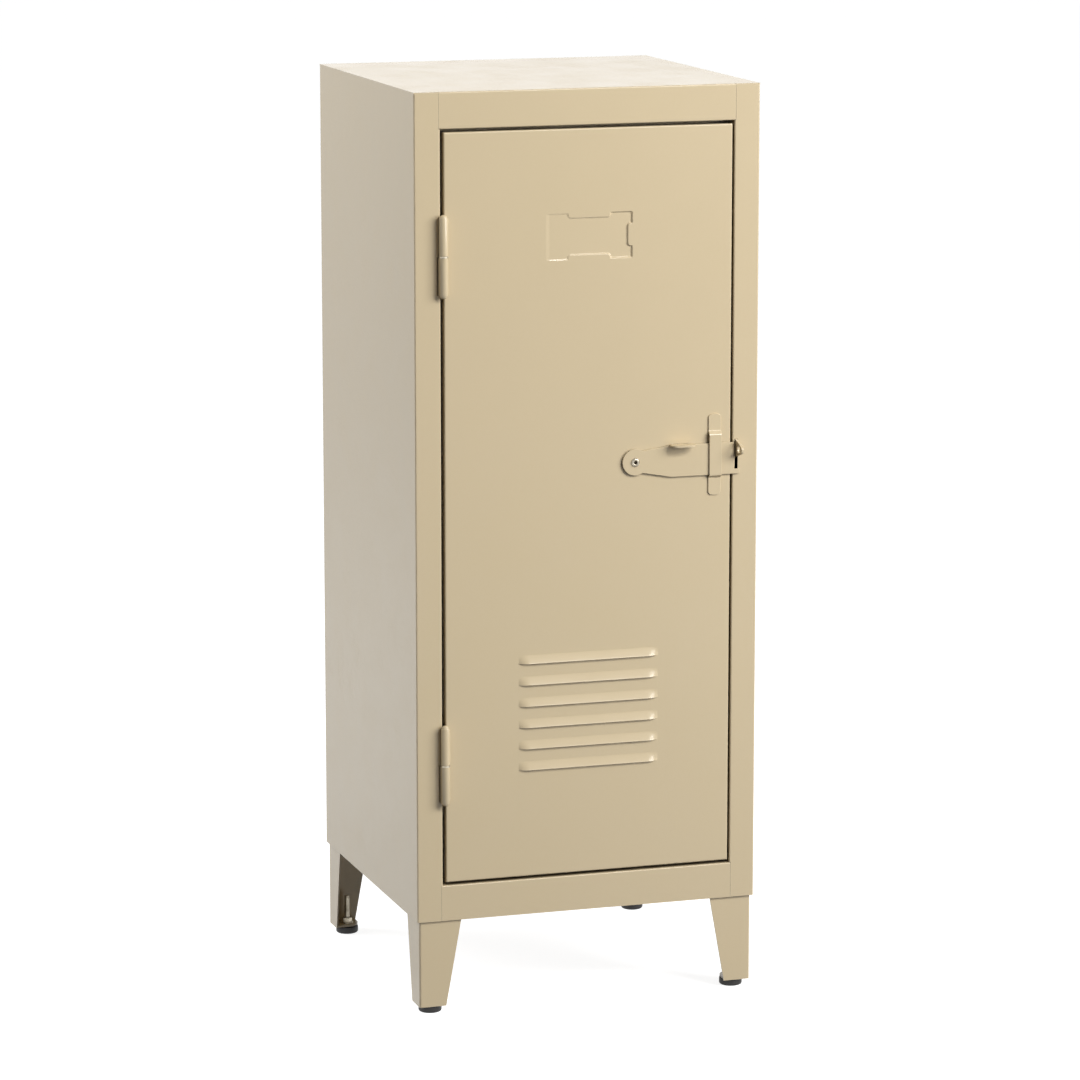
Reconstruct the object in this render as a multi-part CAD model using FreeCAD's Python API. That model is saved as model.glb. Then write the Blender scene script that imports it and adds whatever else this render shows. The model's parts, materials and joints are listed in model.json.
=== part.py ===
import FreeCAD, Part
import math
import os
from FreeCAD import Vector

# Free-standing steel locker: one door, six louvres, lifting latch arm, tapered legs on screw feet.
# Millimetres. Front faces -Y, +X is to the right of someone facing the door, +Z is up.
# While modelling, y = 0 is the front face, x = 0 the middle of the cabinet, z = 0 the floor.

# Cabinet
WIDTH = 380.0
DEPTH = 370.0
BODY_HEIGHT = 882.0
SHEET = 1.0
BEND = 0.6
STILE = 28.2
RAIL = 38.5
JAMB = 20.0
STOP_LIP = 10.0
FLANGE = 15.0
HEM = 8.0
SEAM = 0.2
FIT = 0.05

# Back panel
BACK_MARGIN = 1.5
WALL_HOLE_R = 3.5
WALL_HOLE_SPACING = 240.0
WALL_HOLE_DROP = 48.0

# Shelves
SHELF_NAMES = ("lower", "upper")
SHELF_RIM = 20.0
SHELF_SIDE_GAP = 2.0
SHELF_FRONT_GAP = 6.0
RUNNER = 15.0
RUNNER_INSET = 18.0

# Door
DOOR_DEPTH = 18.0
DOOR_LIP = 10.0
HINGE_GAP = 3.6
LATCH_GAP = 2.2
RAIL_GAP = 3.4
BUFFER_WIDTH = 6.0
BUFFER_LENGTH = 20.0
BUFFER_CLEAR = 0.1
BUFFER_INSET = 60.0

# Louvres
LOUVRE_COUNT = 6
LOUVRE_PITCH = 23.1
LOUVRE_LENGTH = 156.0
LOUVRE_HEIGHT = 10.0
LOUVRE_OUT = 5.0
LOUVRE_END = 5.5
LOUVRE_ROUND = 5.0
LOUVRE_UP = 116.5

# Card holder pressed into the door
CARD_WIDTH = 96.3
CARD_HEIGHT = 49.7
CARD_DOWN = 88.2
CARD_DROP = 1.8
CARD_ROUND = 2.0
CARD_RAMP = 5.0
TONGUE_LONG = 45.2
TONGUE_SHORT = 22.6
TONGUE_REACH = 4.8
TONGUE_ROUND = 2.5

# Hinges
HINGE_LENGTH = 88.0
HINGE_INSET = 128.5
BARREL_R = 4.7
BARREL_CLEAR = 0.5
CAP = 3.2
CAP_R = 3.0
HINGE_WASHER = 1.6
HINGE_WASHER_R = 5.0
PIN_R = 3.0
PIN_LENGTH = 70.0
LEAF = 1.5
LEAF_DEPTH = 14.0
SLIT_CLEAR = 1.1

# Latch: the arm's free end stops short of the padlock ear, and its height is from the door's lower edge
NOTCH_CLEAR = 2.75
PIVOT_UP = 442.6
ARM = 2.0
ARM_GAP = 1.0
ARM_END_R = 14.2
ARM_ROOT = 10.4
ARM_HALF = 17.0
ARM_DROP = 0.8
ARM_SHOULDER = 40.3
ARM_SHOULDER_ROUND = 8.0
ARM_LENGTH = 110.6
FINGER = 6.7
FINGER_HEIGHT = 5.1
ARM_LIFT = 5.5
CORNER = 1.0
TAB_START = 38.0
TAB_WIDTH = 27.0
TAB_OUT = 13.0
TAB_RISE = 1.2
TAB_ROUND = 6.0
TAB_BEND = 1.0
STRAP = 1.5
STRAP_WIDTH = 15.5
STRAP_BACK = 21.0
STRAP_CLEAR = 0.6
STRAP_FOOT = 18.5
STRAP_HEAD = 15.7
STRAP_RUN = 7.0
STRAP_BEND = 1.6
STRAP_ROUND = 4.5
STOP_GAP = 0.3
PIVOT_R = 2.5
PIVOT_HEAD_R = 4.8
PIVOT_HEAD = 1.7
PIVOT_BORE_R = 1.2
PIVOT_TAIL = 2.0
PIVOT_TAIL_R = 3.6
SPACER_R = 7.0

# Padlock ear in the right stile
EAR = 2.5
EAR_OUT = 20.0
EAR_TIP_R = 4.5
EAR_HEIGHT = 19.5
EAR_UP = -0.5
EAR_HOLE_R = 4.0
EAR_HOLE_IN = 10.0
EAR_WELD = 15.0
SLOT_IN = 23.8
SLOT_WIDTH = 3.6
SLOT_BELOW = 16.0

# Legs and feet
LEG_DROP = 94.5
LEG_SHEET = 1.5
LEG_TOP = 46.5
LEG_FOOT = 29.5
LEG_CLEAR = 0.8
FOOT_PLATE = 2.0
FOOT_LIP = 0.5
FOOT_PLATE_GAP = 1.0
FOOT_IN = 16.0
STUD_R = 3.0
STUD_HOLE_R = 3.3
STUD_CLEAR = 0.1
NUT_FLATS = 10.0
NUT_HEIGHT = 6.0
PAD_R = 12.5
PAD_HEIGHT = 9.0
STUD_TOP = 42.0
STUD_SEAT = 3.0

# Places that follow from the sizes above
BODY_Z = PAD_HEIGHT - FOOT_LIP + LEG_DROP
TOP_Z = BODY_Z + BODY_HEIGHT
FLOOR_Z = BODY_Z + RAIL
LINTEL_Z = TOP_Z - RAIL
HALF = WIDTH / 2
RAIL_END = HALF - STILE + BEND + SHEET - SEAM
DOOR_LEFT = -HALF + STILE + HINGE_GAP
DOOR_RIGHT = HALF - STILE - LATCH_GAP
DOOR_LOW = FLOOR_Z + RAIL_GAP
DOOR_HIGH = LINTEL_Z - RAIL_GAP
DOOR_MIDDLE = (DOOR_LEFT + DOOR_RIGHT) / 2
HINGE_X = -HALF + STILE + HINGE_GAP / 2
HINGE_Y = -BARREL_R - BARREL_CLEAR
HINGE_HEIGHTS = (DOOR_LOW + HINGE_INSET, DOOR_HIGH - HINGE_INSET)
EAR_X = HALF - SLOT_IN
PIVOT = Vector(EAR_X - EAR / 2 - NOTCH_CLEAR - ARM_LENGTH, 0, DOOR_LOW + PIVOT_UP)
ARM_FRONT = -ARM_GAP - ARM
STRAP_IN = ARM_LENGTH - STRAP_BACK
EAR_HOLE = Vector(EAR_X, -EAR_HOLE_IN, PIVOT.z + EAR_UP + EAR_HEIGHT / 2)
LEG_INSET = 2 * SHEET + LEG_CLEAR
FOOT_X = HALF - LEG_INSET - FOOT_IN
FOOT_FRONT_Y = LEG_INSET + FOOT_IN
FOOT_REAR_Y = DEPTH - LEG_INSET - FOOT_IN
CORNERS = {
    "front_left": (-1, 1),
    "front_right": (1, 1),
    "rear_left": (-1, -1),
    "rear_right": (1, -1),
}
OVERLAP = 1.0


def box(x0, x1, y0, y1, z0, z1):
    """Block between two corners."""
    return Part.makeBox(x1 - x0, y1 - y0, z1 - z0, Vector(x0, y0, z0))


def rod(radius, start, end):
    """Round bar between two points."""
    run = end - start
    return Part.makeCylinder(radius, run.Length, start, run)


def hexagon(flats, base, height):
    """Upright hexagonal prism with a given size across flats."""
    reach = flats / 2 / math.cos(math.pi / 6)
    turns = [math.pi / 6 + step * math.pi / 3 for step in range(7)]
    ring = [base + Vector(math.cos(turn), math.sin(turn), 0) * reach for turn in turns]
    return Part.Face(Part.makePolygon(ring)).extrude(Vector(0, 0, height))


def prism(corners, sweep):
    """Straight-sided solid: a ring of corners carried along a vector."""
    return Part.Face(Part.makePolygon(corners + corners[:1])).extrude(sweep)


def rounded_line(points, radii):
    """Edges through the points in order, with an arc of the given radius at each inner point."""
    edges = []
    start = points[0]
    for before, corner, after, radius in zip(points, points[1:], points[2:], radii):
        back = (before - corner).normalize()
        onward = (after - corner).normalize()
        half_angle = back.getAngle(onward) / 2
        entry = corner + back * (radius / math.tan(half_angle))
        leave = corner + onward * (radius / math.tan(half_angle))
        inward = (back + onward).normalize()
        crown = corner + inward * (radius / math.sin(half_angle) - radius)
        edges.append(Part.LineSegment(start, entry).toShape())
        edges.append(Part.Arc(entry, crown, leave).toShape())
        start = leave
    edges.append(Part.LineSegment(start, points[-1]).toShape())
    return edges


def rounded_plate(corners, thickness):
    """Flat plate whose outline is a ring of (point, radius) corners, extruded by a vector."""
    points = [point for point, _ in corners]
    radii = [radius for _, radius in corners]
    seam = (points[-1] + points[0]) * 0.5
    outline = rounded_line([seam] + points + [seam], radii)
    return Part.Face(Part.Wire(outline)).extrude(thickness)


def folded_sheet(points, sweep, thickness=SHEET, inside=BEND):
    """Sheet folded along a line of points, on the left of travel seen against the sweep."""
    axis = Vector(sweep).normalize()
    runs = [(end - start).normalize() for start, end in zip(points, points[1:])]
    sides = [axis.cross(run) for run in runs]
    other = [points[0] + sides[0] * thickness]
    radii = []
    other_radii = []
    for corner, run, next_run, side, next_side in zip(points[1:], runs, runs[1:], sides, sides[1:]):
        other.append(corner + (side + next_side) * (thickness / (1 + side.dot(next_side))))
        turns_left = run.cross(next_run).dot(axis) > 0
        radii.append(inside + thickness if turns_left else inside)
        other_radii.append(inside if turns_left else inside + thickness)
    other.append(points[-1] + sides[-1] * thickness)
    outline = rounded_line(points, radii)
    outline.append(Part.LineSegment(points[-1], other[-1]).toShape())
    outline += rounded_line(other[::-1], other_radii[::-1])
    outline.append(Part.LineSegment(other[0], points[0]).toShape())
    return Part.Face(Part.Wire(outline)).extrude(sweep)


def folded_pan(low, high, open_side):
    """Sheet pan open on one side, with its folds rounded outside and its corners square."""
    wall = Vector(SHEET, SHEET, SHEET)
    past = open_side * (SHEET + OVERLAP)
    outer = box(low.x, high.x, low.y, high.y, low.z, high.z)
    limit = max(corner.Point.dot(open_side) for corner in outer.Vertexes)
    folds = []
    for edge in outer.Edges:
        if max(corner.Point.dot(open_side) for corner in edge.Vertexes) < limit - SHEET:
            folds.append(edge)
    outer = outer.makeFillet(SHEET + BEND, folds)
    inner_low = low + wall
    inner_high = high - wall
    inner = box(inner_low.x, inner_high.x, inner_low.y, inner_high.y, inner_low.z, inner_high.z)
    return outer.cut([inner, inner.translated(past)])


def mirrored(shape):
    """Copy on the other side of the cabinet's middle plane."""
    return shape.mirror(Vector(0, 0, 0), Vector(1, 0, 0))


def foot_places():
    """Centre of each foot on the floor, by corner."""
    return {
        corner: Vector(side * FOOT_X, FOOT_FRONT_Y if end > 0 else FOOT_REAR_Y, 0)
        for corner, (side, end) in CORNERS.items()
    }


def side_sheet():
    """Left side, stile, door jamb, door stop and rear flange folded from one sheet."""
    line = [
        Vector(-HALF + FLANGE, DEPTH - SHEET, BODY_Z),
        Vector(-HALF, DEPTH - SHEET, BODY_Z),
        Vector(-HALF, 0, BODY_Z),
        Vector(-HALF + STILE, 0, BODY_Z),
        Vector(-HALF + STILE, JAMB, BODY_Z),
        Vector(-HALF + STILE + STOP_LIP, JAMB, BODY_Z),
    ]
    panel = folded_sheet(line, Vector(0, 0, BODY_HEIGHT - SHEET))
    inner = -HALF + STILE - BEND - SHEET
    for low, high in ((BODY_Z, FLOOR_Z), (LINTEL_Z, TOP_Z)):
        panel = panel.cut(box(inner, 0, -OVERLAP, JAMB + STOP_LIP, low, high))
    return panel


def left_side_panel():
    """Left side sheet with a slit in its stile beside each frame hinge leaf."""
    panel = side_sheet()
    inner = -HALF + STILE - SHEET
    for height in HINGE_HEIGHTS:
        low = height - HINGE_LENGTH / 2 + CAP - SEAM
        high = height - HINGE_WASHER / 2 + SEAM
        panel = panel.cut(box(inner - LEAF - SLIT_CLEAR, inner, -OVERLAP, SHEET + BEND + FIT, low, high))
    return panel


def right_side_panel():
    """Mirror of the left side sheet, with the slot that the padlock ear comes through."""
    slot = box(
        EAR_X - SLOT_WIDTH / 2,
        EAR_X + SLOT_WIDTH / 2,
        -OVERLAP,
        SHEET + OVERLAP,
        PIVOT.z - SLOT_BELOW,
        PIVOT.z + EAR_UP + EAR_HEIGHT + SEAM,
    )
    return mirrored(side_sheet()).cut(slot)


def side_wings(z, front, rear, outer):
    """Strips that carry a folded top or floor out to the side panels, with their down flanges."""
    wings = []
    for sign in (-1, 1):
        near, far = sorted((sign * RAIL_END, sign * outer))
        wings.append(box(near, far, front, rear, z - SHEET, z))
        near, far = sorted((sign * (HALF - 2 * SHEET), sign * (HALF - SHEET)))
        inner_front = JAMB + 2 * SHEET
        inner_rear = DEPTH - 2 * SHEET - BEND
        wings.append(box(near, far, inner_front, inner_rear, z - FLANGE, z - SHEET / 2))
    return wings


def top_panel():
    """Roof folded down at the front into the top rail, its soffit and the upper door stop."""
    line = [
        Vector(-RAIL_END, DEPTH - SHEET, TOP_Z - FLANGE),
        Vector(-RAIL_END, DEPTH - SHEET, TOP_Z),
        Vector(-RAIL_END, 0, TOP_Z),
        Vector(-RAIL_END, 0, LINTEL_Z),
        Vector(-RAIL_END, JAMB, LINTEL_Z),
        Vector(-RAIL_END, JAMB, LINTEL_Z - STOP_LIP),
    ]
    panel = folded_sheet(line, Vector(2 * RAIL_END, 0, 0))
    stop_end = HALF - STILE - STOP_LIP - SEAM
    for near, far in ((-HALF, -stop_end), (stop_end, HALF)):
        panel = panel.cut(box(near, far, -OVERLAP, DEPTH / 2, LINTEL_Z - 2 * STOP_LIP, LINTEL_Z))
    return panel.fuse(side_wings(TOP_Z, 0, DEPTH - SHEET, HALF)).removeSplitter()


def bottom_panel():
    """Floor folded down at the front into the bottom rail, with a hemmed lower edge."""
    line = [
        Vector(-RAIL_END, DEPTH - SHEET, FLOOR_Z - FLANGE),
        Vector(-RAIL_END, DEPTH - SHEET, FLOOR_Z),
        Vector(-RAIL_END, 0, FLOOR_Z),
        Vector(-RAIL_END, 0, BODY_Z),
    ]
    panel = folded_sheet(line, Vector(2 * RAIL_END, 0, 0))
    hem = box(-RAIL_END, RAIL_END, SHEET / 2, 2 * SHEET, BODY_Z, BODY_Z + HEM)
    wings = side_wings(FLOOR_Z, SHEET + BEND, DEPTH - 2 * SHEET - BEND, HALF - SHEET)
    return panel.fuse([hem] + wings).removeSplitter()


def wall_hole_places():
    """Centres of the two wall-fixing holes on the back panel's outer face."""
    height = TOP_Z - WALL_HOLE_DROP
    return [Vector(sign * WALL_HOLE_SPACING / 2, DEPTH, height) for sign in (-1, 1)]


def back_panel():
    """Flat back sheet, welded on from behind, with two wall-fixing holes."""
    edge = HALF - BACK_MARGIN
    panel = box(-edge, edge, DEPTH - SHEET, DEPTH, BODY_Z + BACK_MARGIN, TOP_Z - BACK_MARGIN)
    reach = Vector(0, SHEET + OVERLAP, 0)
    for place in wall_hole_places():
        panel = panel.cut(rod(WALL_HOLE_R, place - reach, place + reach))
    return panel


def shelf_tops():
    """Height of each shelf's upper face by name, sharing the inside evenly."""
    step = (TOP_Z - FLOOR_Z) / (len(SHELF_NAMES) + 1)
    return {name: FLOOR_Z + step * count for count, name in enumerate(SHELF_NAMES, 1)}


def shelf(top):
    """Shelf pan with its rim turned down on four sides."""
    edge = HALF - SHEET - SHELF_SIDE_GAP
    low = Vector(-edge, JAMB + SHEET + SHELF_FRONT_GAP, top - SHELF_RIM)
    high = Vector(edge, DEPTH - 2 * SHEET - SHELF_SIDE_GAP, top)
    return folded_pan(low, high, Vector(0, 0, -1))


def shelf_runners():
    """Angle runners on the side panels, two under each shelf."""
    rear = DEPTH - 2 * SHEET - RUNNER_INSET
    front = JAMB + SHEET + RUNNER_INSET
    runners = []
    for top in shelf_tops().values():
        seat = top - SHELF_RIM
        line = [
            Vector(-HALF + SHEET + RUNNER, rear, seat),
            Vector(-HALF + SHEET, rear, seat),
            Vector(-HALF + SHEET, rear, seat - RUNNER),
        ]
        runner = folded_sheet(line, Vector(0, front - rear, 0))
        runners += [runner, mirrored(runner)]
    return Part.makeCompound(runners)


def louvre_block(length, height, out, end):
    """Wedge of a louvre about its lower middle, through the door: long at the door, shorter at its lip."""
    half = length / 2
    lean = end / out
    section = [
        Vector(-half, -out, 0),
        Vector(-half, 0, height),
        Vector(-half, SHEET, height),
        Vector(-half, SHEET, 0),
    ]
    wedge = prism(section, Vector(length, 0, 0))
    for sign in (-1, 1):
        end_line = [
            Vector(sign * half, 0, -OVERLAP),
            Vector(sign * (half - end - lean * OVERLAP), -out - OVERLAP, -OVERLAP),
            Vector(sign * (half + OVERLAP), -out - OVERLAP, -OVERLAP),
            Vector(sign * (half + OVERLAP), 0, -OVERLAP),
        ]
        wedge = wedge.cut(prism(end_line, Vector(0, 0, height + 2 * OVERLAP)))
    return wedge


def louvre_hood():
    """Solid louvre on its own patch of door, blended into the sheet along its top and ends."""
    half = LOUVRE_LENGTH / 2
    margin = LOUVRE_ROUND
    patch = box(-half - margin, half + margin, 0, SHEET, 0, LOUVRE_HEIGHT + margin)
    hood = louvre_block(LOUVRE_LENGTH, LOUVRE_HEIGHT, LOUVRE_OUT, LOUVRE_END)
    patch = patch.fuse(hood).removeSplitter()
    root = box(-half - FIT, half + FIT, -FIT, FIT, FIT, LOUVRE_HEIGHT + FIT)
    blended = [
        edge
        for edge in patch.Edges
        if edge.BoundBox.YLength < FIT and root.isInside(edge.CenterOfMass, FIT, True)
    ]
    return patch.makeFillet(LOUVRE_ROUND, blended)


def louvre_inside():
    """Hollow of one louvre: the hood drawn in by the sheet, and carried back through the door."""
    slope = math.hypot(LOUVRE_HEIGHT, LOUVRE_OUT)
    end_slope = math.hypot(LOUVRE_END, LOUVRE_OUT)
    out = LOUVRE_OUT - SHEET * slope / LOUVRE_HEIGHT
    return louvre_block(
        LOUVRE_LENGTH - 2 * SHEET * end_slope / LOUVRE_OUT,
        LOUVRE_HEIGHT - SHEET * slope / LOUVRE_OUT,
        out,
        LOUVRE_END * out / LOUVRE_OUT,
    )


def tongue(x0, x1, z0, z1):
    """Block that keeps one round-cornered tongue of sheet in the card holder's mouth."""
    past = CARD_DROP + OVERLAP
    block = box(x0, x1, -past, past, z0, z1)
    corners = [edge for edge in block.Edges if edge.BoundBox.YLength > FIT]
    return block.makeFillet(TONGUE_ROUND, corners)


def card_outline(tongues):
    """Outline of the card holder's pocket about its middle, with or without the three tongues."""
    half_width = CARD_WIDTH / 2
    half_height = CARD_HEIGHT / 2
    pocket = rounded_plate(
        [
            (Vector(-half_width, 0, -half_height), CARD_ROUND),
            (Vector(half_width, 0, -half_height), CARD_ROUND),
            (Vector(half_width, 0, half_height), CARD_ROUND),
            (Vector(-half_width, 0, half_height), CARD_ROUND),
        ],
        Vector(0, CARD_DROP, 0),
    )
    if not tongues:
        return pocket
    long_half = TONGUE_LONG / 2
    short_half = TONGUE_SHORT / 2
    past = CARD_DROP + OVERLAP
    tongue_blocks = [
        tongue(-long_half, long_half, half_height - TONGUE_REACH, half_height + past),
        tongue(-long_half, long_half, -half_height - past, TONGUE_REACH - half_height),
        tongue(half_width - TONGUE_REACH, half_width + past, -short_half, short_half),
    ]
    return pocket.cut(tongue_blocks)


def card_holder(door):
    """Press the card holder into the door: a sunk pocket, three tongues and a ramp on the left."""
    middle = Vector(DOOR_MIDDLE, 0, DOOR_HIGH - CARD_DOWN - CARD_HEIGHT / 2)
    half_width = CARD_WIDTH / 2
    half_height = CARD_HEIGHT / 2
    tray = box(
        -half_width - SHEET,
        half_width + SHEET,
        SHEET / 2,
        CARD_DROP + SHEET,
        -half_height - SHEET,
        half_height + SHEET,
    )
    under_tongues = card_outline(tongues=False)
    under_tongues.translate(Vector(0, SHEET, 0))
    under_tongues = under_tongues.common(box(-WIDTH, WIDTH, 0, CARD_DROP, -WIDTH, WIDTH))
    mouth = card_outline(tongues=True)
    ramp_line = [
        Vector(-half_width, 0, -half_height),
        Vector(CARD_RAMP - half_width, CARD_DROP, -half_height),
        Vector(-half_width, CARD_DROP, -half_height),
    ]
    ramp = prism(ramp_line, Vector(0, 0, CARD_HEIGHT))
    pieces = [tray, under_tongues, mouth, ramp]
    for piece in pieces:
        piece.translate(middle)
    tray, under_tongues, mouth, ramp = pieces
    return door.fuse(tray).cut(under_tongues).cut(mouth).fuse(ramp)


def door_panel():
    """Door pan with its inner lips, the louvres, the card holder and the pivot's rivet hole."""
    low = Vector(DOOR_LEFT, 0, DOOR_LOW)
    high = Vector(DOOR_RIGHT, DOOR_DEPTH, DOOR_HIGH)
    door = folded_pan(low, high, Vector(0, 1, 0))
    lips = box(
        DOOR_LEFT + SHEET / 2,
        DOOR_RIGHT - SHEET / 2,
        DOOR_DEPTH - SHEET,
        DOOR_DEPTH,
        DOOR_LOW + SHEET / 2,
        DOOR_HIGH - SHEET / 2,
    )
    window = box(
        DOOR_LEFT + DOOR_LIP,
        DOOR_RIGHT - DOOR_LIP,
        0,
        2 * DOOR_DEPTH,
        DOOR_LOW + DOOR_LIP,
        DOOR_HIGH - DOOR_LIP,
    )
    door = door.fuse(lips.cut(window))
    hood = louvre_hood()
    inside = louvre_inside()
    for count in range(LOUVRE_COUNT):
        place = Vector(DOOR_MIDDLE, 0, DOOR_LOW + LOUVRE_UP + count * LOUVRE_PITCH)
        door = door.fuse(hood.translated(place)).cut(inside.translated(place))
    door = card_holder(door)
    reach = Vector(0, SHEET + OVERLAP, 0)
    return door.cut(rod(PIVOT_R + FIT, PIVOT - reach, PIVOT + reach)).removeSplitter()


def door_buffers():
    """Rubber strips on the latch-side door stop."""
    middle = HALF - STILE - (STOP_LIP + LATCH_GAP) / 2
    left = middle - BUFFER_WIDTH / 2
    right = middle + BUFFER_WIDTH / 2
    buffers = []
    for z in (DOOR_LOW + BUFFER_INSET, DOOR_HIGH - BUFFER_INSET):
        low = z - BUFFER_LENGTH / 2
        high = z + BUFFER_LENGTH / 2
        buffers.append(box(left, right, DOOR_DEPTH + BUFFER_CLEAR, JAMB, low, high))
    return Part.makeCompound(buffers)


def hinge_knuckle(height, direction, bore_r):
    """Half of a barrel with its tapered cap and its bore; direction is +1 for the upper half."""
    axis = Vector(0, 0, direction)
    centre = Vector(HINGE_X, HINGE_Y, height)
    foot = centre + axis * (HINGE_WASHER / 2)
    shoulder = centre + axis * (HINGE_LENGTH / 2 - CAP)
    cap = Part.makeCone(BARREL_R, CAP_R, CAP, shoulder, axis)
    bore = rod(bore_r, centre, centre + axis * (PIN_LENGTH / 2 + FIT))
    return rod(BARREL_R, foot, shoulder).fuse(cap), bore, foot, shoulder


def hinge_door_leaves():
    """Upper knuckles, which turn on the pins, with their leaves welded to the door's edge."""
    leaves = []
    for height in HINGE_HEIGHTS:
        knuckle, bore, foot, shoulder = hinge_knuckle(height, 1, PIN_R + FIT)
        knuckle.translate(Vector(0, 0, FIT))
        leaf = box(DOOR_LEFT - LEAF, DOOR_LEFT, HINGE_Y, LEAF_DEPTH, foot.z + SEAM, shoulder.z)
        leaves.append(knuckle.fuse(leaf).cut(bore).removeSplitter())
    return Part.makeCompound(leaves)


def hinge_frame_leaves():
    """Lower knuckles, which hold the pins, with their leaves passed through the stile and welded to the jamb."""
    jamb = -HALF + STILE - SHEET
    leaves = []
    for height in HINGE_HEIGHTS:
        knuckle, bore, foot, shoulder = hinge_knuckle(height, -1, PIN_R)
        leaf = box(jamb - LEAF, jamb, HINGE_Y, LEAF_DEPTH, shoulder.z, foot.z)
        leaves.append(knuckle.fuse(leaf).cut(bore).removeSplitter())
    return Part.makeCompound(leaves)


def hinge_pins():
    """Pins pressed into the lower knuckles."""
    half = Vector(0, 0, PIN_LENGTH / 2)
    centres = [Vector(HINGE_X, HINGE_Y, height) for height in HINGE_HEIGHTS]
    return Part.makeCompound([rod(PIN_R, centre - half, centre + half) for centre in centres])


def hinge_washers():
    """Bearing rings between the knuckles."""
    half = Vector(0, 0, HINGE_WASHER / 2)
    rings = []
    for height in HINGE_HEIGHTS:
        centre = Vector(HINGE_X, HINGE_Y, height)
        ring = rod(HINGE_WASHER_R, centre - half, centre + half)
        rings.append(ring.cut(rod(PIN_R + FIT, centre - half, centre + half)))
    return Part.makeCompound(rings)


def from_pivot(x, y, z):
    """Point given from the latch arm's pivot on the door's face."""
    return PIVOT + Vector(x, y, z)


def latch_arm():
    """Flat arm with a round pivot end, tapered neck, bent thumb tab and notched free end."""
    top = ARM_HALF - ARM_DROP
    bottom = -ARM_HALF - ARM_DROP
    finger_top = bottom + FINGER_HEIGHT
    finger_end = ARM_LENGTH + FINGER
    outline = [
        (0, ARM_ROOT, CORNER),
        (ARM_SHOULDER, top, ARM_SHOULDER_ROUND),
        (ARM_LENGTH, top, CORNER),
        (ARM_LENGTH, finger_top, CORNER),
        (finger_end, finger_top, CORNER),
        (finger_end, bottom, CORNER),
        (ARM_SHOULDER, bottom, ARM_SHOULDER_ROUND),
        (0, -ARM_ROOT, CORNER),
    ]
    corners = [(from_pivot(x, ARM_FRONT, z), radius) for x, z, radius in outline]
    plate = rounded_plate(corners, Vector(0, ARM, 0))
    disc = rod(ARM_END_R, from_pivot(0, ARM_FRONT, 0), from_pivot(0, -ARM_GAP, 0))
    tab_line = [
        from_pivot(TAB_START, -ARM_GAP, 0),
        from_pivot(TAB_START, -ARM_GAP, top + TAB_RISE),
        from_pivot(TAB_START, ARM_FRONT - TAB_OUT, top + TAB_RISE),
    ]
    tab = folded_sheet(tab_line, Vector(TAB_WIDTH, 0, 0), ARM, TAB_BEND)
    tips = [
        edge
        for edge in tab.Edges
        if abs(edge.BoundBox.YMax - tab.BoundBox.YMin) < FIT and edge.BoundBox.XLength < FIT
    ]
    tab = tab.makeFillet(TAB_ROUND, tips)
    bore = rod(PIVOT_R + FIT, from_pivot(0, ARM_FRONT - OVERLAP, 0), from_pivot(0, 0, 0))
    return plate.fuse([disc, tab]).cut(bore).removeSplitter()


def latch_guide_strap():
    """Joggled strap welded to the door at both ends, with room for the arm to lift behind it."""
    out = -ARM_GAP - ARM - STRAP_CLEAR
    lift = math.radians(ARM_LIFT)
    far = STRAP_IN + STRAP_WIDTH / 2
    rest = -ARM_HALF - ARM_DROP - STOP_GAP
    lifted = far * math.sin(lift) + (ARM_HALF - ARM_DROP) * math.cos(lift) + STOP_GAP
    low = rest + ARM_FRONT
    high = lifted + STRAP_RUN * ARM_FRONT / out
    x = STRAP_IN - STRAP_WIDTH / 2
    line = [
        from_pivot(x, 0, low - STRAP_FOOT),
        from_pivot(x, 0, low),
        from_pivot(x, out, low - out),
        from_pivot(x, out, high - STRAP_RUN),
        from_pivot(x, 0, high),
        from_pivot(x, 0, high + STRAP_HEAD),
    ]
    strap = folded_sheet(line, Vector(STRAP_WIDTH, 0, 0), STRAP, STRAP_BEND)
    ends = [
        edge
        for edge in strap.Edges
        if edge.BoundBox.XLength < FIT
        and edge.BoundBox.ZLength < FIT
        and (edge.BoundBox.ZMin < line[0].z + FIT or edge.BoundBox.ZMax > line[-1].z - FIT)
    ]
    return strap.makeFillet(STRAP_ROUND, ends)


def latch_rivet():
    """Hollow rivet that the arm turns on: head in front of the arm, tail behind the door."""
    back = from_pivot(0, ARM_FRONT - FIT, 0)
    outward = Vector(0, -1, 0)
    head = rod(PIVOT_HEAD_R, back, back + outward * PIVOT_HEAD)
    inside = from_pivot(0, SHEET, 0)
    tail = rod(PIVOT_TAIL_R, inside, from_pivot(0, SHEET + PIVOT_TAIL, 0))
    shank = rod(PIVOT_R, back, inside)
    bore = rod(PIVOT_BORE_R, back + outward * (PIVOT_HEAD + OVERLAP), back)
    return head.fuse([shank, tail]).cut(bore).removeSplitter()


def latch_spacer():
    """Washer that holds the arm off the door's paint."""
    front = from_pivot(0, -ARM_GAP + FIT, 0)
    face = from_pivot(0, 0, 0)
    return rod(SPACER_R, front, face).cut(rod(PIVOT_R + FIT, front, face))


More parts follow.
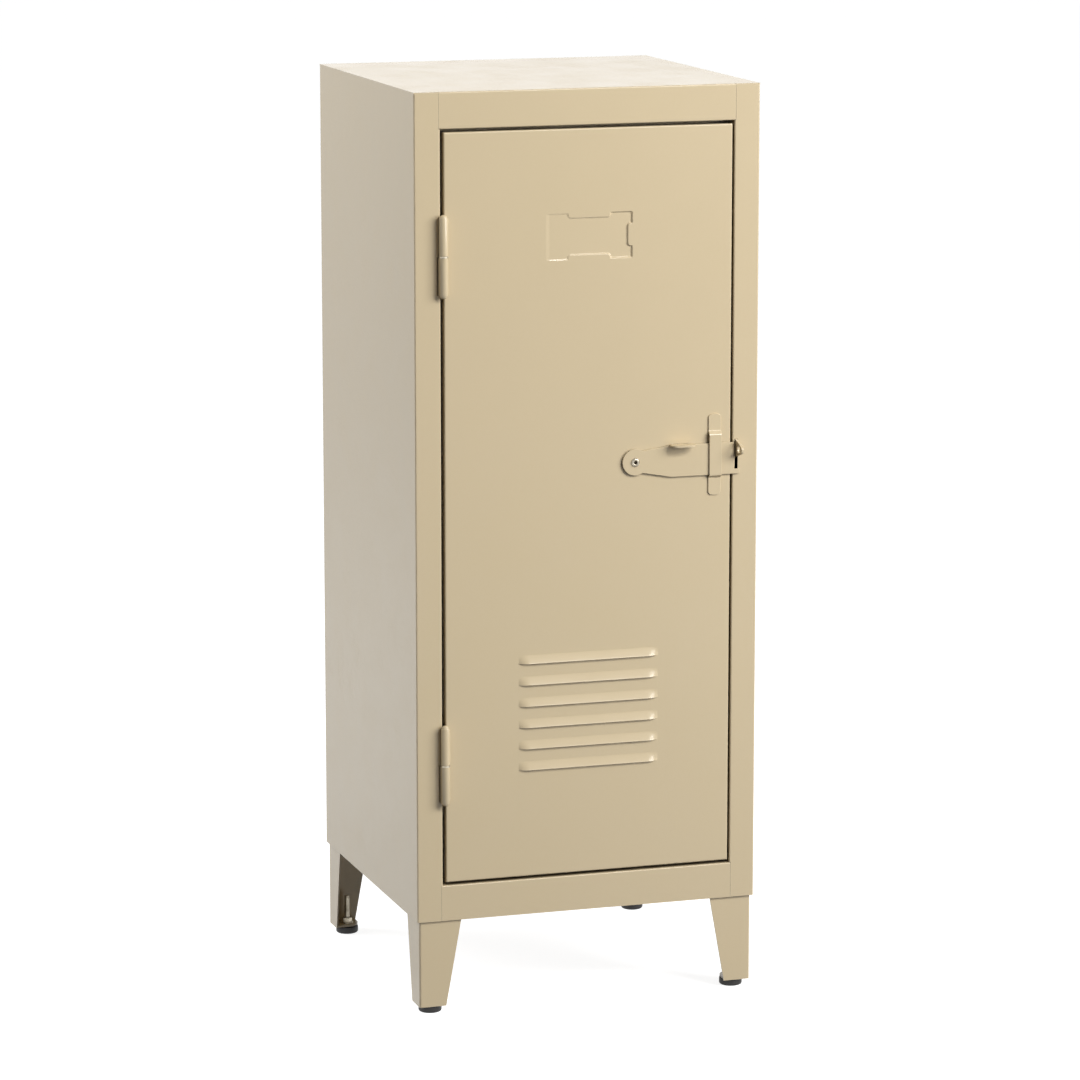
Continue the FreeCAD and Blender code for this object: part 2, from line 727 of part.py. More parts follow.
def padlock_ear():
    """Ear that stands out of the stile's slot, with a flange welded behind the stile."""
    low = PIVOT.z + EAR_UP
    high = low + EAR_HEIGHT
    back = SHEET + EAR
    left = EAR_X - EAR / 2
    nose = Vector(left, -EAR_OUT + EAR_TIP_R, EAR_HOLE.z)
    root = nose.y
    rise = EAR_HEIGHT / 2
    distance = math.hypot(root, rise)
    spread = math.atan2(rise, -root) + math.asin(EAR_TIP_R / distance)
    touch_y = nose.y - EAR_TIP_R * math.sin(spread - 2 * math.asin(EAR_TIP_R / distance))
    touch_z = math.sqrt(EAR_TIP_R ** 2 - (touch_y - nose.y) ** 2)
    upper = Vector(left, touch_y, nose.z + touch_z)
    lower = Vector(left, touch_y, nose.z - touch_z)
    corners = [
        Vector(left, back, low),
        Vector(left, 0, low),
        lower,
        upper,
        Vector(left, 0, high),
        Vector(left, back, high),
    ]
    tip = Vector(left, nose.y - EAR_TIP_R, nose.z)
    outline = [Part.LineSegment(a, b).toShape() for a, b in zip(corners[:2], corners[1:3])]
    outline.append(Part.Arc(lower, tip, upper).toShape())
    outline += [Part.LineSegment(a, b).toShape() for a, b in zip(corners[3:5], corners[4:6])]
    outline.append(Part.LineSegment(corners[5], corners[0]).toShape())
    plate = Part.Face(Part.Wire(outline)).extrude(Vector(EAR, 0, 0))
    flange = box(left, left + EAR + EAR_WELD, SHEET, back, low, high)
    across = Vector(EAR, 0, 0)
    return plate.fuse(flange).cut(rod(EAR_HOLE_R, EAR_HOLE - across, EAR_HOLE + across)).removeSplitter()


def leg_front_left():
    """Tapered leg folded from sheet, with a top plate under the floor and a foot plate near its lower edge."""
    low = PAD_HEIGHT - FOOT_LIP
    high = FLOOR_Z - SHEET
    line = [Vector(0, LEG_TOP, low), Vector(0, 0, low), Vector(LEG_TOP, 0, low)]
    leg = folded_sheet(line, Vector(0, 0, high - low), LEG_SHEET, BEND)
    past = LEG_TOP + OVERLAP
    under = low - OVERLAP
    taper = [(LEG_FOOT, under), (LEG_FOOT, low), (LEG_TOP, BODY_Z), (past, BODY_Z), (past, under)]
    front_cut = prism([Vector(across, -OVERLAP, z) for across, z in taper], Vector(0, past, 0))
    side_cut = prism([Vector(-OVERLAP, across, z) for across, z in taper], Vector(past, 0, 0))
    leg = leg.cut([front_cut, side_cut])
    top_plate = box(LEG_SHEET / 2, LEG_TOP, LEG_SHEET / 2, LEG_TOP, high - LEG_SHEET, high)
    inner = LEG_FOOT - FOOT_PLATE_GAP
    start = LEG_SHEET / 2
    foot_plate = box(start, inner, start, inner, PAD_HEIGHT, PAD_HEIGHT + FOOT_PLATE)
    corner = Vector(inner, inner, PAD_HEIGHT + FOOT_PLATE / 2)
    free_corner = [edge for edge in foot_plate.Edges if (edge.CenterOfMass - corner).Length < FIT]
    foot_plate = foot_plate.makeFillet(inner / 2, free_corner)
    foot = Vector(FOOT_IN, FOOT_IN, PAD_HEIGHT)
    depth = Vector(0, 0, FOOT_PLATE + OVERLAP)
    foot_plate = foot_plate.cut(rod(STUD_HOLE_R, foot - depth, foot + depth))
    leg = leg.fuse([top_plate, foot_plate]).removeSplitter()
    leg.translate(Vector(-HALF + LEG_INSET, LEG_INSET, 0))
    return leg


def legs():
    """The four legs, mirrored from the front left one."""
    pattern = leg_front_left()
    placed = {}
    for corner, (side, end) in CORNERS.items():
        leg = pattern.copy()
        if side > 0:
            leg = mirrored(leg)
        if end < 0:
            leg = leg.mirror(Vector(0, DEPTH / 2, 0), Vector(0, 1, 0))
        placed["leg_" + corner] = leg
    return placed


def foot_nuts():
    """Hexagon nuts on the foot plates, which the foot studs screw through."""
    nuts = []
    for place in foot_places().values():
        base = place + Vector(0, 0, PAD_HEIGHT + FOOT_PLATE)
        bore = rod(STUD_R + STUD_CLEAR, base, base + Vector(0, 0, NUT_HEIGHT))
        nuts.append(hexagon(NUT_FLATS, base, NUT_HEIGHT).cut(bore))
    return Part.makeCompound(nuts)


def foot_stud(place):
    """Foot stud, whose lower end turns in the pad."""
    return rod(STUD_R, place + Vector(0, 0, STUD_SEAT), place + Vector(0, 0, STUD_TOP))


def foot_pad(place):
    """Round pad with a socket for the stud."""
    top = place + Vector(0, 0, PAD_HEIGHT)
    socket = rod(STUD_R + STUD_CLEAR, place + Vector(0, 0, STUD_SEAT), top)
    return rod(PAD_R, place, top).cut(socket)


def locker():
    """Every piece of the locker by name."""
    pieces = {
        "left_side_panel": left_side_panel(),
        "right_side_panel": right_side_panel(),
        "top_panel": top_panel(),
        "bottom_panel": bottom_panel(),
        "back_panel": back_panel(),
        "shelf_runners": shelf_runners(),
        "door_panel": door_panel(),
        "door_buffers": door_buffers(),
        "hinge_door_leaves": hinge_door_leaves(),
        "hinge_frame_leaves": hinge_frame_leaves(),
        "hinge_pins": hinge_pins(),
        "hinge_washers": hinge_washers(),
        "latch_arm": latch_arm(),
        "latch_guide_strap": latch_guide_strap(),
        "latch_rivet": latch_rivet(),
        "latch_spacer": latch_spacer(),
        "padlock_ear": padlock_ear(),
        "foot_nuts": foot_nuts(),
    }
    for name, top in shelf_tops().items():
        pieces["shelf_" + name] = shelf(top)
    pieces.update(legs())
    for corner, place in foot_places().items():
        pieces["foot_stud_" + corner] = foot_stud(place)
        pieces["foot_pad_" + corner] = foot_pad(place)
    return pieces


def centring_shift(pieces):
    """Move that puts the middle of the whole footprint on the origin."""
    whole = Part.makeCompound(list(pieces.values())).optimalBoundingBox(False, False)
    return Vector(0, -(whole.YMin + whole.YMax) / 2, 0)


def main():
    """Build every piece and write it to its own file."""
    os.makedirs("parts", exist_ok=True)
    pieces = locker()
    shift = centring_shift(pieces)
    for name, piece in pieces.items():
        piece.translated(shift).exportStep("parts/" + name + ".step")
    print("pieces:", len(pieces), "shift:", round(shift.y, 4))


main()
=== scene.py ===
"""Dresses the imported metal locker: finishes, fine hardware, studio stage and camera."""
import json
import logging
import math
from dataclasses import dataclass, field
from enum import Enum
from typing import Sequence

import bmesh
import bpy
from mathutils import Matrix, Vector


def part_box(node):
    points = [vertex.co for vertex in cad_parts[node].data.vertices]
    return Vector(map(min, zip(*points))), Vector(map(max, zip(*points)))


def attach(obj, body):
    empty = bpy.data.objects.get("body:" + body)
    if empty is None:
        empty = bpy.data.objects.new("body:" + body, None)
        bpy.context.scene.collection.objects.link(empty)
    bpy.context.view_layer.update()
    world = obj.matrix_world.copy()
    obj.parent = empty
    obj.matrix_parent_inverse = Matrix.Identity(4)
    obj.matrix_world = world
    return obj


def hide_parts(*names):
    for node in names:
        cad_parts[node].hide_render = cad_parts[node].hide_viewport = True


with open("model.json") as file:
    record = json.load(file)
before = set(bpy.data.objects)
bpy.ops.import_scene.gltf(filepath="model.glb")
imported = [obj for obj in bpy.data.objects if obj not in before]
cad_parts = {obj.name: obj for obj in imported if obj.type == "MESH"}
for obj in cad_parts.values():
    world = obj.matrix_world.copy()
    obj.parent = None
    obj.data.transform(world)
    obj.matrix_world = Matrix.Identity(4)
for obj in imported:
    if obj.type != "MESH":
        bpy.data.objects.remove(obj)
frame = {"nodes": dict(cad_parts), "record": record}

LOG = logging.getLogger("metal_locker")
MM = 0.001
RING_SIDES = 72

Colour = tuple[float, float, float, float]
Profile = Sequence[tuple[float, float]]
Socket = bpy.types.NodeSocket


class Body(str, Enum):
    """Moving bodies that a new piece rides on."""

    CABINET = "cabinet"
    DOOR = "door"
    LATCH = "latch"


class Slot(str, Enum):
    """Material slots of the record."""

    BODY_PAINT = "body_paint"
    PLATED_STEEL = "plated_steel"
    RIVET_STEEL = "rivet_steel"
    BUFFER_RUBBER = "buffer_rubber"
    FOOT_RUBBER = "foot_rubber"


class Corner(str, Enum):
    """The four feet of the locker."""

    FRONT_LEFT = "front_left"
    FRONT_RIGHT = "front_right"
    REAR_LEFT = "rear_left"
    REAR_RIGHT = "rear_right"

    def foot(self) -> Vector:
        """Centre of this corner's foot pad, on the floor."""
        low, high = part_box("foot_pad_" + self.value)
        return Vector(((low.x + high.x) / 2, (low.y + high.y) / 2, low.z))


def srgb(red: int, green: int, blue: int) -> Colour:
    """Linear colour of an 8-bit sRGB one.

    Args:
        red: Red level, 0 to 255.
        green: Green level, 0 to 255.
        blue: Blue level, 0 to 255.

    Returns:
        The linear colour with full alpha.
    """
    levels = []
    for level in (red, green, blue):
        share = level / 255
        levels.append(share / 12.92 if share <= 0.04045 else ((share + 0.055) / 1.055) ** 2.4)
    return (levels[0], levels[1], levels[2], 1.0)


def full_turn(count: int) -> list[float]:
    """Angles of evenly spaced points round a circle."""
    return [2 * math.pi * step / count for step in range(count)]


class Shader:
    """Node tree of one material on Object coordinates, with short calls for its usual nodes."""

    # Places of the Mix node's colour sockets, whose names its other kinds of socket share
    MIX_FIRST = 6
    MIX_SECOND = 7
    MIX_RESULT = 2
    # How far a rounded normal agrees with the true one, at an edge and on flat sheet
    EDGE_SPAN = (0.75, 0.99)

    def __init__(self, name: str) -> None:
        """Start a Principled material.

        Args:
            name: Name of the material.
        """
        self.material = bpy.data.materials.new(name)
        self.material.use_nodes = True
        self.tree = self.material.node_tree
        self.bsdf = self.tree.nodes["Principled BSDF"]
        self.place = self.add("ShaderNodeTexCoord").outputs["Object"]

    def add(self, kind: str, **settings: object) -> bpy.types.Node:
        """Add a node and set its properties.

        Args:
            kind: Blender's name of the node type.
            **settings: Properties of the node.

        Returns:
            The node.
        """
        node = self.tree.nodes.new(kind)
        for key, value in settings.items():
            setattr(node, key, value)
        return node

    def join(self, source: Socket, target: Socket) -> None:
        """Link one socket to another."""
        self.tree.links.new(source, target)

    def noise(self, scale: float, detail: float = 2.0) -> Socket:
        """Noise pattern between about 0.3 and 0.7.

        Args:
            scale: Features per metre.
            detail: Number of finer layers.

        Returns:
            The pattern's value socket.
        """
        node = self.add("ShaderNodeTexNoise")
        node.inputs["Scale"].default_value = scale
        node.inputs["Detail"].default_value = detail
        self.join(self.place, node.inputs["Vector"])
        return node.outputs["Fac"]

    def spread(
        self, value: Socket, low: float, high: float, start: float = 0.3, end: float = 0.7
    ) -> Socket:
        """Map a value to another range, held at its ends.

        Args:
            value: Socket to map.
            low: Result at the start.
            high: Result at the end.
            start: Value that gives the low result.
            end: Value that gives the high result.

        Returns:
            The mapped socket.
        """
        node = self.add("ShaderNodeMapRange")
        for name, number in (("From Min", start), ("From Max", end), ("To Min", low), ("To Max", high)):
            node.inputs[name].default_value = number
        self.join(value, node.inputs["Value"])
        return node.outputs["Result"]

    def blend(self, share: Socket, first: Socket | Colour, second: Socket | Colour) -> Socket:
        """Mix two colours.

        Args:
            share: Share of the second colour.
            first: Colour at a share of 0.
            second: Colour at a share of 1.

        Returns:
            The mixed colour socket.
        """
        node = self.add("ShaderNodeMix", data_type="RGBA")
        self.join(share, node.inputs[0])
        for place, colour in ((self.MIX_FIRST, first), (self.MIX_SECOND, second)):
            if isinstance(colour, Socket):
                self.join(colour, node.inputs[place])
            else:
                node.inputs[place].default_value = colour
        return node.outputs[self.MIX_RESULT]

    def product(self, first: Socket, second: Socket) -> Socket:
        """Multiply two values.

        Args:
            first: One value.
            second: The other value.

        Returns:
            The product's socket.
        """
        node = self.add("ShaderNodeMath", operation="MULTIPLY")
        self.join(first, node.inputs[0])
        self.join(second, node.inputs[1])
        return node.outputs[0]

    def edges(self, reach: float) -> Socket:
        """How near a sharp edge is, from 0 on flat sheet to 1 on the edge.

        Args:
            reach: Distance in metres that an edge is felt from.

        Returns:
            The nearness socket.
        """
        bevel = self.add("ShaderNodeBevel", samples=6)
        bevel.inputs["Radius"].default_value = reach
        normal = self.add("ShaderNodeNewGeometry").outputs["Normal"]
        dot = self.add("ShaderNodeVectorMath", operation="DOT_PRODUCT")
        self.join(bevel.outputs["Normal"], dot.inputs[0])
        self.join(normal, dot.inputs[1])
        return self.spread(dot.outputs["Value"], 1.0, 0.0, *self.EDGE_SPAN)

    def openness(self, reach: float) -> Socket:
        """How open the space before the surface is, from 0 in a narrow gap to 1.

        Args:
            reach: Distance in metres that is looked at.

        Returns:
            The openness socket.
        """
        node = self.add("ShaderNodeAmbientOcclusion", samples=8)
        node.inputs["Distance"].default_value = reach
        return node.outputs["AO"]

    def relief(self, layers: Sequence[tuple[Socket, float]]) -> None:
        """Stack bump layers onto the surface.

        Args:
            layers: Height patterns with their heights in metres.
        """
        before = None
        for pattern, height in layers:
            node = self.add("ShaderNodeBump")
            node.inputs["Distance"].default_value = height
            self.join(pattern, node.inputs["Height"])
            if before is not None:
                self.join(before, node.inputs["Normal"])
            before = node.outputs["Normal"]
        self.join(before, self.bsdf.inputs["Normal"])


@dataclass(frozen=True)
class PaintFinish:
    """Stoved satin enamel on sheet steel."""

    name: str = "beige_enamel"
    tone: Colour = srgb(207, 189, 155)
    deep: Colour = srgb(205, 187, 152)
    # Pale colour for random flecks, also mixed in along sharp edges as a painted highlight
    rim: Colour = srgb(224, 212, 188)
    rim_reach: float = 0.7 * MM
    rim_share: tuple[float, float] = (0.27, 0.54)
    # Painted shade: colour, reach, strength and openness range for darkening the enamel in narrow gaps
    # and inner corners
    painted_gap_shade: Colour = srgb(34, 25, 17)
    painted_gap_shade_reach: float = 7.0 * MM
    painted_gap_shade_share: float = 0.85
    painted_gap_shade_span: tuple[float, float] = (0.12, 0.5)
    gloss: tuple[float, float] = (0.2, 0.26)
    gloss_scale: float = 26.0
    drift_scale: float = 3.0
    fleck_scale: float = 420.0
    fleck_share: float = 0.03
    peel_scale: float = 520.0
    peel_height: float = 0.002 * MM
    sway_scale: float = 7.0
    sway_height: float = 0.04 * MM

    def material(self) -> bpy.types.Material:
        """Enamel that drifts in tone, paler on edges as a painted highlight, dark in narrow gaps as
        painted shade, with peel and sway.

        Returns:
            The material.
        """
        shader = Shader(self.name)
        drift = shader.spread(shader.noise(self.drift_scale, detail=3.0), 0.0, 1.0)
        fleck = shader.noise(self.fleck_scale, detail=4.0)
        tone = shader.blend(drift, self.deep, self.tone)
        flecked = shader.blend(shader.spread(fleck, 0.0, self.fleck_share), tone, self.rim)
        # Painted highlight: the enamel turns paler near sharp edges, broken up by the fleck noise
        painted_edge_highlight = shader.product(shader.edges(self.rim_reach), shader.spread(fleck, *self.rim_share))
        coat = shader.blend(painted_edge_highlight, flecked, self.rim)
        # Painted shade: the enamel turns dark brown where ambient occlusion finds a narrow gap
        painted_gap_shade = shader.spread(shader.openness(self.painted_gap_shade_reach), self.painted_gap_shade_share, 0.0, *self.painted_gap_shade_span)
        shader.join(shader.blend(painted_gap_shade, coat, self.painted_gap_shade), shader.bsdf.inputs["Base Color"])
        patch = shader.noise(self.gloss_scale, detail=3.0)
        shader.join(shader.spread(patch, *self.gloss), shader.bsdf.inputs["Roughness"])
        peel = shader.noise(self.peel_scale)
        sway = shader.noise(self.sway_scale, detail=1.0)
        shader.relief([(sway, self.sway_height), (peel, self.peel_height)])
        return shader.material


@dataclass(frozen=True)
class PlateFinish:
    """Metal plating with fine grain and uneven brightness."""

    name: str
    tone: Colour
    deep: Colour
    gloss: tuple[float, float]
    rim: Colour = (0.95, 0.94, 0.92, 1.0)
    rim_reach: float = 0.3 * MM
    rim_share: float = 0.5
    cloud_scale: float = 180.0
    grain_scale: float = 900.0
    grain_height: float = 0.008 * MM

    def material(self) -> bpy.types.Material:
        """Plated metal, darker and rougher in patches and brighter on its edges.

        Returns:
            The material.
        """
        shader = Shader(self.name)
        shader.bsdf.inputs["Metallic"].default_value = 1.0
        cloud = shader.noise(self.cloud_scale, detail=4.0)
        tone = shader.blend(shader.spread(cloud, 0.0, 1.0), self.deep, self.tone)
        rim = shader.spread(shader.edges(self.rim_reach), 0.0, self.rim_share, start=0.0, end=1.0)
        shader.join(shader.blend(rim, tone, self.rim), shader.bsdf.inputs["Base Color"])
        shader.join(shader.spread(cloud, self.gloss[1], self.gloss[0]), shader.bsdf.inputs["Roughness"])
        shader.relief([(shader.noise(self.grain_scale), self.grain_height)])
        return shader.material


@dataclass(frozen=True)
class RubberFinish:
    """Dark moulded rubber with a fine matt grain."""

    name: str
    tone: Colour
    dust: Colour
    dust_share: float = 0.35
    gloss: tuple[float, float] = (0.42, 0.62)
    rim_reach: float = 0.8 * MM
    rim_share: tuple[float, float] = (0.1, 0.6)
    cloud_scale: float = 140.0
    grain_scale: float = 1100.0
    grain_height: float = 0.02 * MM

    def material(self) -> bpy.types.Material:
        """Rubber with a little pale dust on its rims.

        Returns:
            The material.
        """
        shader = Shader(self.name)
        cloud = shader.noise(self.cloud_scale, detail=4.0)
        rim = shader.product(shader.edges(self.rim_reach), shader.spread(cloud, *self.rim_share))
        tone = shader.blend(shader.spread(cloud, 0.0, self.dust_share), self.tone, self.dust)
        shader.join(shader.blend(rim, tone, self.dust), shader.bsdf.inputs["Base Color"])
        shader.join(shader.spread(cloud, *self.gloss), shader.bsdf.inputs["Roughness"])
        shader.relief([(shader.noise(self.grain_scale, detail=3.0), self.grain_height)])
        return shader.material


@dataclass
class Finishes:
    """The locker's materials, made once and shared by its pieces."""

    paint: bpy.types.Material
    plating: bpy.types.Material
    rivet: bpy.types.Material
    buffer: bpy.types.Material
    foot: bpy.types.Material

    @classmethod
    def make(cls) -> "Finishes":
        """Make every material of the locker.

        Returns:
            The materials.
        """
        zinc = PlateFinish("zinc_plating", srgb(216, 208, 190), srgb(150, 140, 118), (0.29, 0.42))
        nickel = PlateFinish("bright_rivet", srgb(176, 168, 152), srgb(120, 112, 98), (0.2, 0.34))
        buffer = RubberFinish("grey_buffer_rubber", srgb(58, 55, 52), srgb(96, 92, 86))
        foot = RubberFinish("black_foot_rubber", srgb(15, 13, 12), srgb(34, 30, 27))
        return cls(*(finish.material() for finish in (PaintFinish(), zinc, nickel, buffer, foot)))

    def for_slot(self, slot: Slot) -> bpy.types.Material:
        """Material that dresses a slot of the record.

        Args:
            slot: The slot.

        Returns:
            Its material.
        """
        table = {
            Slot.BODY_PAINT: self.paint,
            Slot.PLATED_STEEL: self.plating,
            Slot.RIVET_STEEL: self.rivet,
            Slot.BUFFER_RUBBER: self.buffer,
            Slot.FOOT_RUBBER: self.foot,
        }
        return table[slot]


class MeshDraft:
    """Vertices and faces of one piece while it is made."""

    SHARP = math.radians(38)
    SAME_PLACE = 0.001 * MM

    def __init__(self) -> None:
        """Start with nothing."""
        self.shape = bmesh.new()

    def loft(self, rings: Sequence[Sequence[Vector]]) -> None:
        """Skin a row of rings; a ring of one point closes an end.

        Args:
            rings: Rings of points in order, each of one point or of the same count.
        """
        self.skin([[self.shape.verts.new(point) for point in ring] for ring in rings])

    def skin(self, made: Sequence[Sequence[bmesh.types.BMVert]]) -> None:
        """Skin a row of rings of ready vertices.

        Args:
            made: Rings of vertices in order, each of one vertex or of the same count.
        """
        for lower, upper in zip(made, made[1:]):
            count = max(len(lower), len(upper))
            for step in range(count):
                follow = (step + 1) % count
                face = [lower[step % len(lower)]]
                if len(lower) > 1:
                    face.append(lower[follow])
                if len(upper) > 1:
                    face.append(upper[follow])
                face.append(upper[step % len(upper)])
                self.shape.faces.new(face)

    def lathe(self, profile: Profile, place: Matrix, sides: int = 48) -> None:
        """Turn a profile of radius and height about an axis.

        Args:
            profile: Radius and height of each ring, closed by a radius of 0 at an end.
            place: Matrix from the lathe's own axes, with Z along the axis.
            sides: Number of sides.
        """
        turns = full_turn(sides)
        rings = []
        for radius, height in profile:
            if radius == 0:
                rings.append([place @ Vector((0, 0, height))])
            else:
                rings.append(
                    [place @ Vector((radius * math.cos(t), radius * math.sin(t), height)) for t in turns]
                )
        self.loft(rings)

    def block(self, low: Vector, high: Vector, edge: float) -> None:
        """Add a plate with rounded edges.

        Args:
            low: Lowest corner.
            high: Highest corner.
            edge: Size of the rounding.
        """
        size = high - low
        place = Matrix.Translation((low + high) / 2) @ Matrix.Diagonal((*size, 1))
        verts = bmesh.ops.create_cube(self.shape, matrix=place)["verts"]
        edges = list({line for vert in verts for line in vert.link_edges})
        bmesh.ops.bevel(self.shape, geom=edges, offset=edge, segments=3, profile=0.5, affect="EDGES")

    def merge(self) -> None:
        """Join vertices that lie on each other."""
        bmesh.ops.remove_doubles(self.shape, verts=self.shape.verts, dist=self.SAME_PLACE)

    def piece(self, name: str, finish: bpy.types.Material, sharp: float = SHARP) -> bpy.types.Object:
        """Turn the draft into an object with outward, softly shaded faces.

        Args:
            name: Name of the object.
            finish: Its material.
            sharp: Angle between faces from which their edge stays crisp.

        Returns:
            The object, at the origin.
        """
        bmesh.ops.recalc_face_normals(self.shape, faces=self.shape.faces)
        for face in self.shape.faces:
            face.smooth = True
        for line in self.shape.edges:
            line.smooth = not (line.is_manifold and line.calc_face_angle() > sharp)
        mesh = bpy.data.meshes.new(name)
        self.shape.to_mesh(mesh)
        self.shape.free()
        mesh.materials.append(finish)
        made = bpy.data.objects.new(name, mesh)
        bpy.context.scene.collection.objects.link(made)
        return made


class NodeGroup:
    """Geometry Nodes tree with named inputs, which is baked into a plain mesh."""

    def __init__(self, name: str, inputs: dict[str, str]) -> None:
        """Start a tree.

        Args:
            name: Name of the tree.
            inputs: Names of its inputs with their socket types.
        """
        self.tree = bpy.data.node_groups.new(name, "GeometryNodeTree")
        self.inputs: dict[str, str] = {}
        for label, kind in inputs.items():
            socket = self.tree.interface.new_socket(label, in_out="INPUT", socket_type=kind)
            self.inputs[label] = socket.identifier
        self.tree.interface.new_socket("Geometry", in_out="OUTPUT", socket_type="NodeSocketGeometry")
        self.given = self.tree.nodes.new("NodeGroupInput").outputs
        self.result = self.tree.nodes.new("NodeGroupOutput").inputs

    def add(
        self, kind: str, links: dict[str, Socket] | None = None, **settings: object
    ) -> bpy.types.Node:
        """Add a node with its links and properties.

        Args:
            kind: Blender's name of the node type.
            links: Input names with the sockets that feed them.
            **settings: Properties of the node.

        Returns:
            The node.
        """
        node = self.tree.nodes.new(kind)
        for key, value in settings.items():
            setattr(node, key, value)
        for label, source in (links or {}).items():
            self.tree.links.new(source, node.inputs[label])
        return node

    def close(self, geometry: Socket, finish: Socket) -> None:
        """End the tree in plain geometry that carries its finish.

        Args:
            geometry: The finished shape, which may hold instances.
            finish: The material.
        """
        real = self.add("GeometryNodeRealizeInstances", {"Geometry": geometry})
        dressed = self.add("GeometryNodeSetMaterial", {"Geometry": real.outputs[0], "Material": finish})
        self.tree.links.new(dressed.outputs[0], self.result["Geometry"])

    def bake(self, name: str, values: dict[str, object]) -> bpy.types.Object:
        """Run the tree once and keep its result as a plain mesh.

        Args:
            name: Name of the piece.
            values: Values of the tree's inputs by name.

        Returns:
            The piece, at the origin.
        """
        host = bpy.data.objects.new(name + "_host", bpy.data.meshes.new(name + "_host"))
        bpy.context.scene.collection.objects.link(host)
        modifier = host.modifiers.new("nodes", "NODES")
        modifier.node_group = self.tree
        for label, value in values.items():
            modifier[self.inputs[label]] = value
        graph = bpy.context.evaluated_depsgraph_get()
        mesh = bpy.data.meshes.new_from_object(host.evaluated_get(graph))
        mesh.name = name
        bpy.data.objects.remove(host)
        made = bpy.data.objects.new(name, mesh)
        bpy.context.scene.collection.objects.link(made)
        return made


class LatticeTree(NodeGroup):
    """Copies one pattern piece to every point of a two-way lattice."""

    def __init__(self) -> None:
        """Build the tree."""
        super().__init__(
            "hardware_lattice",
            {
                "Pattern": "NodeSocketObject",
                "Start": "NodeSocketVector",
                "Rows": "NodeSocketInt",
                "Row step": "NodeSocketVector",
                "Columns": "NodeSocketInt",
                "Column step": "NodeSocketVector",
                "Finish": "NodeSocketMaterial",
            },
        )
        rows = self.add(
            "GeometryNodeMeshLine",
            {
                "Count": self.given["Rows"],
                "Start Location": self.given["Start"],
                "Offset": self.given["Row step"],
            },
        )
        columns = self.add(
            "GeometryNodeMeshLine",
            {"Count": self.given["Columns"], "Offset": self.given["Column step"]},
        )
        spread = self.add(
            "GeometryNodeInstanceOnPoints",
            {"Points": rows.outputs["Mesh"], "Instance": columns.outputs["Mesh"]},
        )
        points = self.add("GeometryNodeRealizeInstances", {"Geometry": spread.outputs["Instances"]})
        pattern = self.add("GeometryNodeObjectInfo", {"Object": self.given["Pattern"]})
        copies = self.add(
            "GeometryNodeInstanceOnPoints",
            {"Points": points.outputs["Geometry"], "Instance": pattern.outputs["Geometry"]},
        )
        self.close(copies.outputs["Instances"], self.given["Finish"])

    def copies(
        self,
        name: str,
        draft: MeshDraft,
        finish: bpy.types.Material,
        start: Vector,
        rows: tuple[int, Vector],
        columns: tuple[int, Vector] = (1, Vector((0, 0, 0))),
    ) -> bpy.types.Object:
        """Copy a drafted pattern to the lattice's points.

        Args:
            name: Name of the piece.
            draft: The pattern about the origin.
            finish: Material of the copies.
            start: First point of the lattice.
            rows: Count and step along the lattice's rows.
            columns: Count and step across the rows.

        Returns:
            One plain piece that holds every copy.
        """
        pattern = draft.piece(name + "_pattern", finish)
        values = {
            "Pattern": pattern,
            "Start": start,
            "Rows": rows[0],
            "Row step": rows[1],
            "Columns": columns[0],
            "Column step": columns[1],
            "Finish": finish,
        }
        made = self.bake(name, values)
        bpy.data.objects.remove(pattern)
        return made


class ThreadTree(NodeGroup):
    """Screw thread: a ridge on a spiral round a plain core."""

    STEPS_PER_TURN = 20
    RIDGE_SIDES = 4
    CORE_SIDES = 24

    def __init__(self) -> None:
        """Build the tree."""
        super().__init__(
            "screw_thread",
            {
                "Foot": "NodeSocketVector",
                "Turns": "NodeSocketFloat",
                "Length": "NodeSocketFloat",
                "Ridge radius": "NodeSocketFloat",
                "Ridge size": "NodeSocketFloat",
                "Core radius": "NodeSocketFloat",
                "Core length": "NodeSocketFloat",
                "Finish": "NodeSocketMaterial",
            },
        )
        given = self.given
        spiral = self.add(
            "GeometryNodeCurveSpiral",
            {
                "Rotations": given["Turns"],
                "Start Radius": given["Ridge radius"],
                "End Radius": given["Ridge radius"],
                "Height": given["Length"],
            },
        )
        spiral.inputs["Resolution"].default_value = self.STEPS_PER_TURN
        upright = self.add("GeometryNodeSetCurveNormal", {"Curve": spiral.outputs[0]}, mode="Z_UP")
        section = self.add("GeometryNodeCurvePrimitiveCircle", {"Radius": given["Ridge size"]})
        section.inputs["Resolution"].default_value = self.RIDGE_SIDES
        ridge = self.add(
            "GeometryNodeCurveToMesh",
            {"Curve": upright.outputs[0], "Profile Curve": section.outputs[0]},
        )
        ridge.inputs["Fill Caps"].default_value = True
        core = self.add(
            "GeometryNodeMeshCylinder",
            {"Radius": given["Core radius"], "Depth": given["Core length"]},
        )
        core.inputs["Vertices"].default_value = self.CORE_SIDES
        half = self.add("ShaderNodeMath", operation="MULTIPLY")
        self.tree.links.new(given["Length"], half.inputs[0])
        half.inputs[1].default_value = 0.5
        rise = self.add("ShaderNodeCombineXYZ", {"Z": half.outputs[0]})
        raised = self.add(
            "GeometryNodeTransform",
            {"Geometry": core.outputs["Mesh"], "Translation": rise.outputs[0]},
        )
        both = self.add("GeometryNodeJoinGeometry")
        self.tree.links.new(ridge.outputs[0], both.inputs[0])
        self.tree.links.new(raised.outputs[0], both.inputs[0])
        placed = self.add(
            "GeometryNodeTransform",
            {"Geometry": both.outputs[0], "Translation": given["Foot"]},
        )
        self.close(placed.outputs[0], given["Finish"])


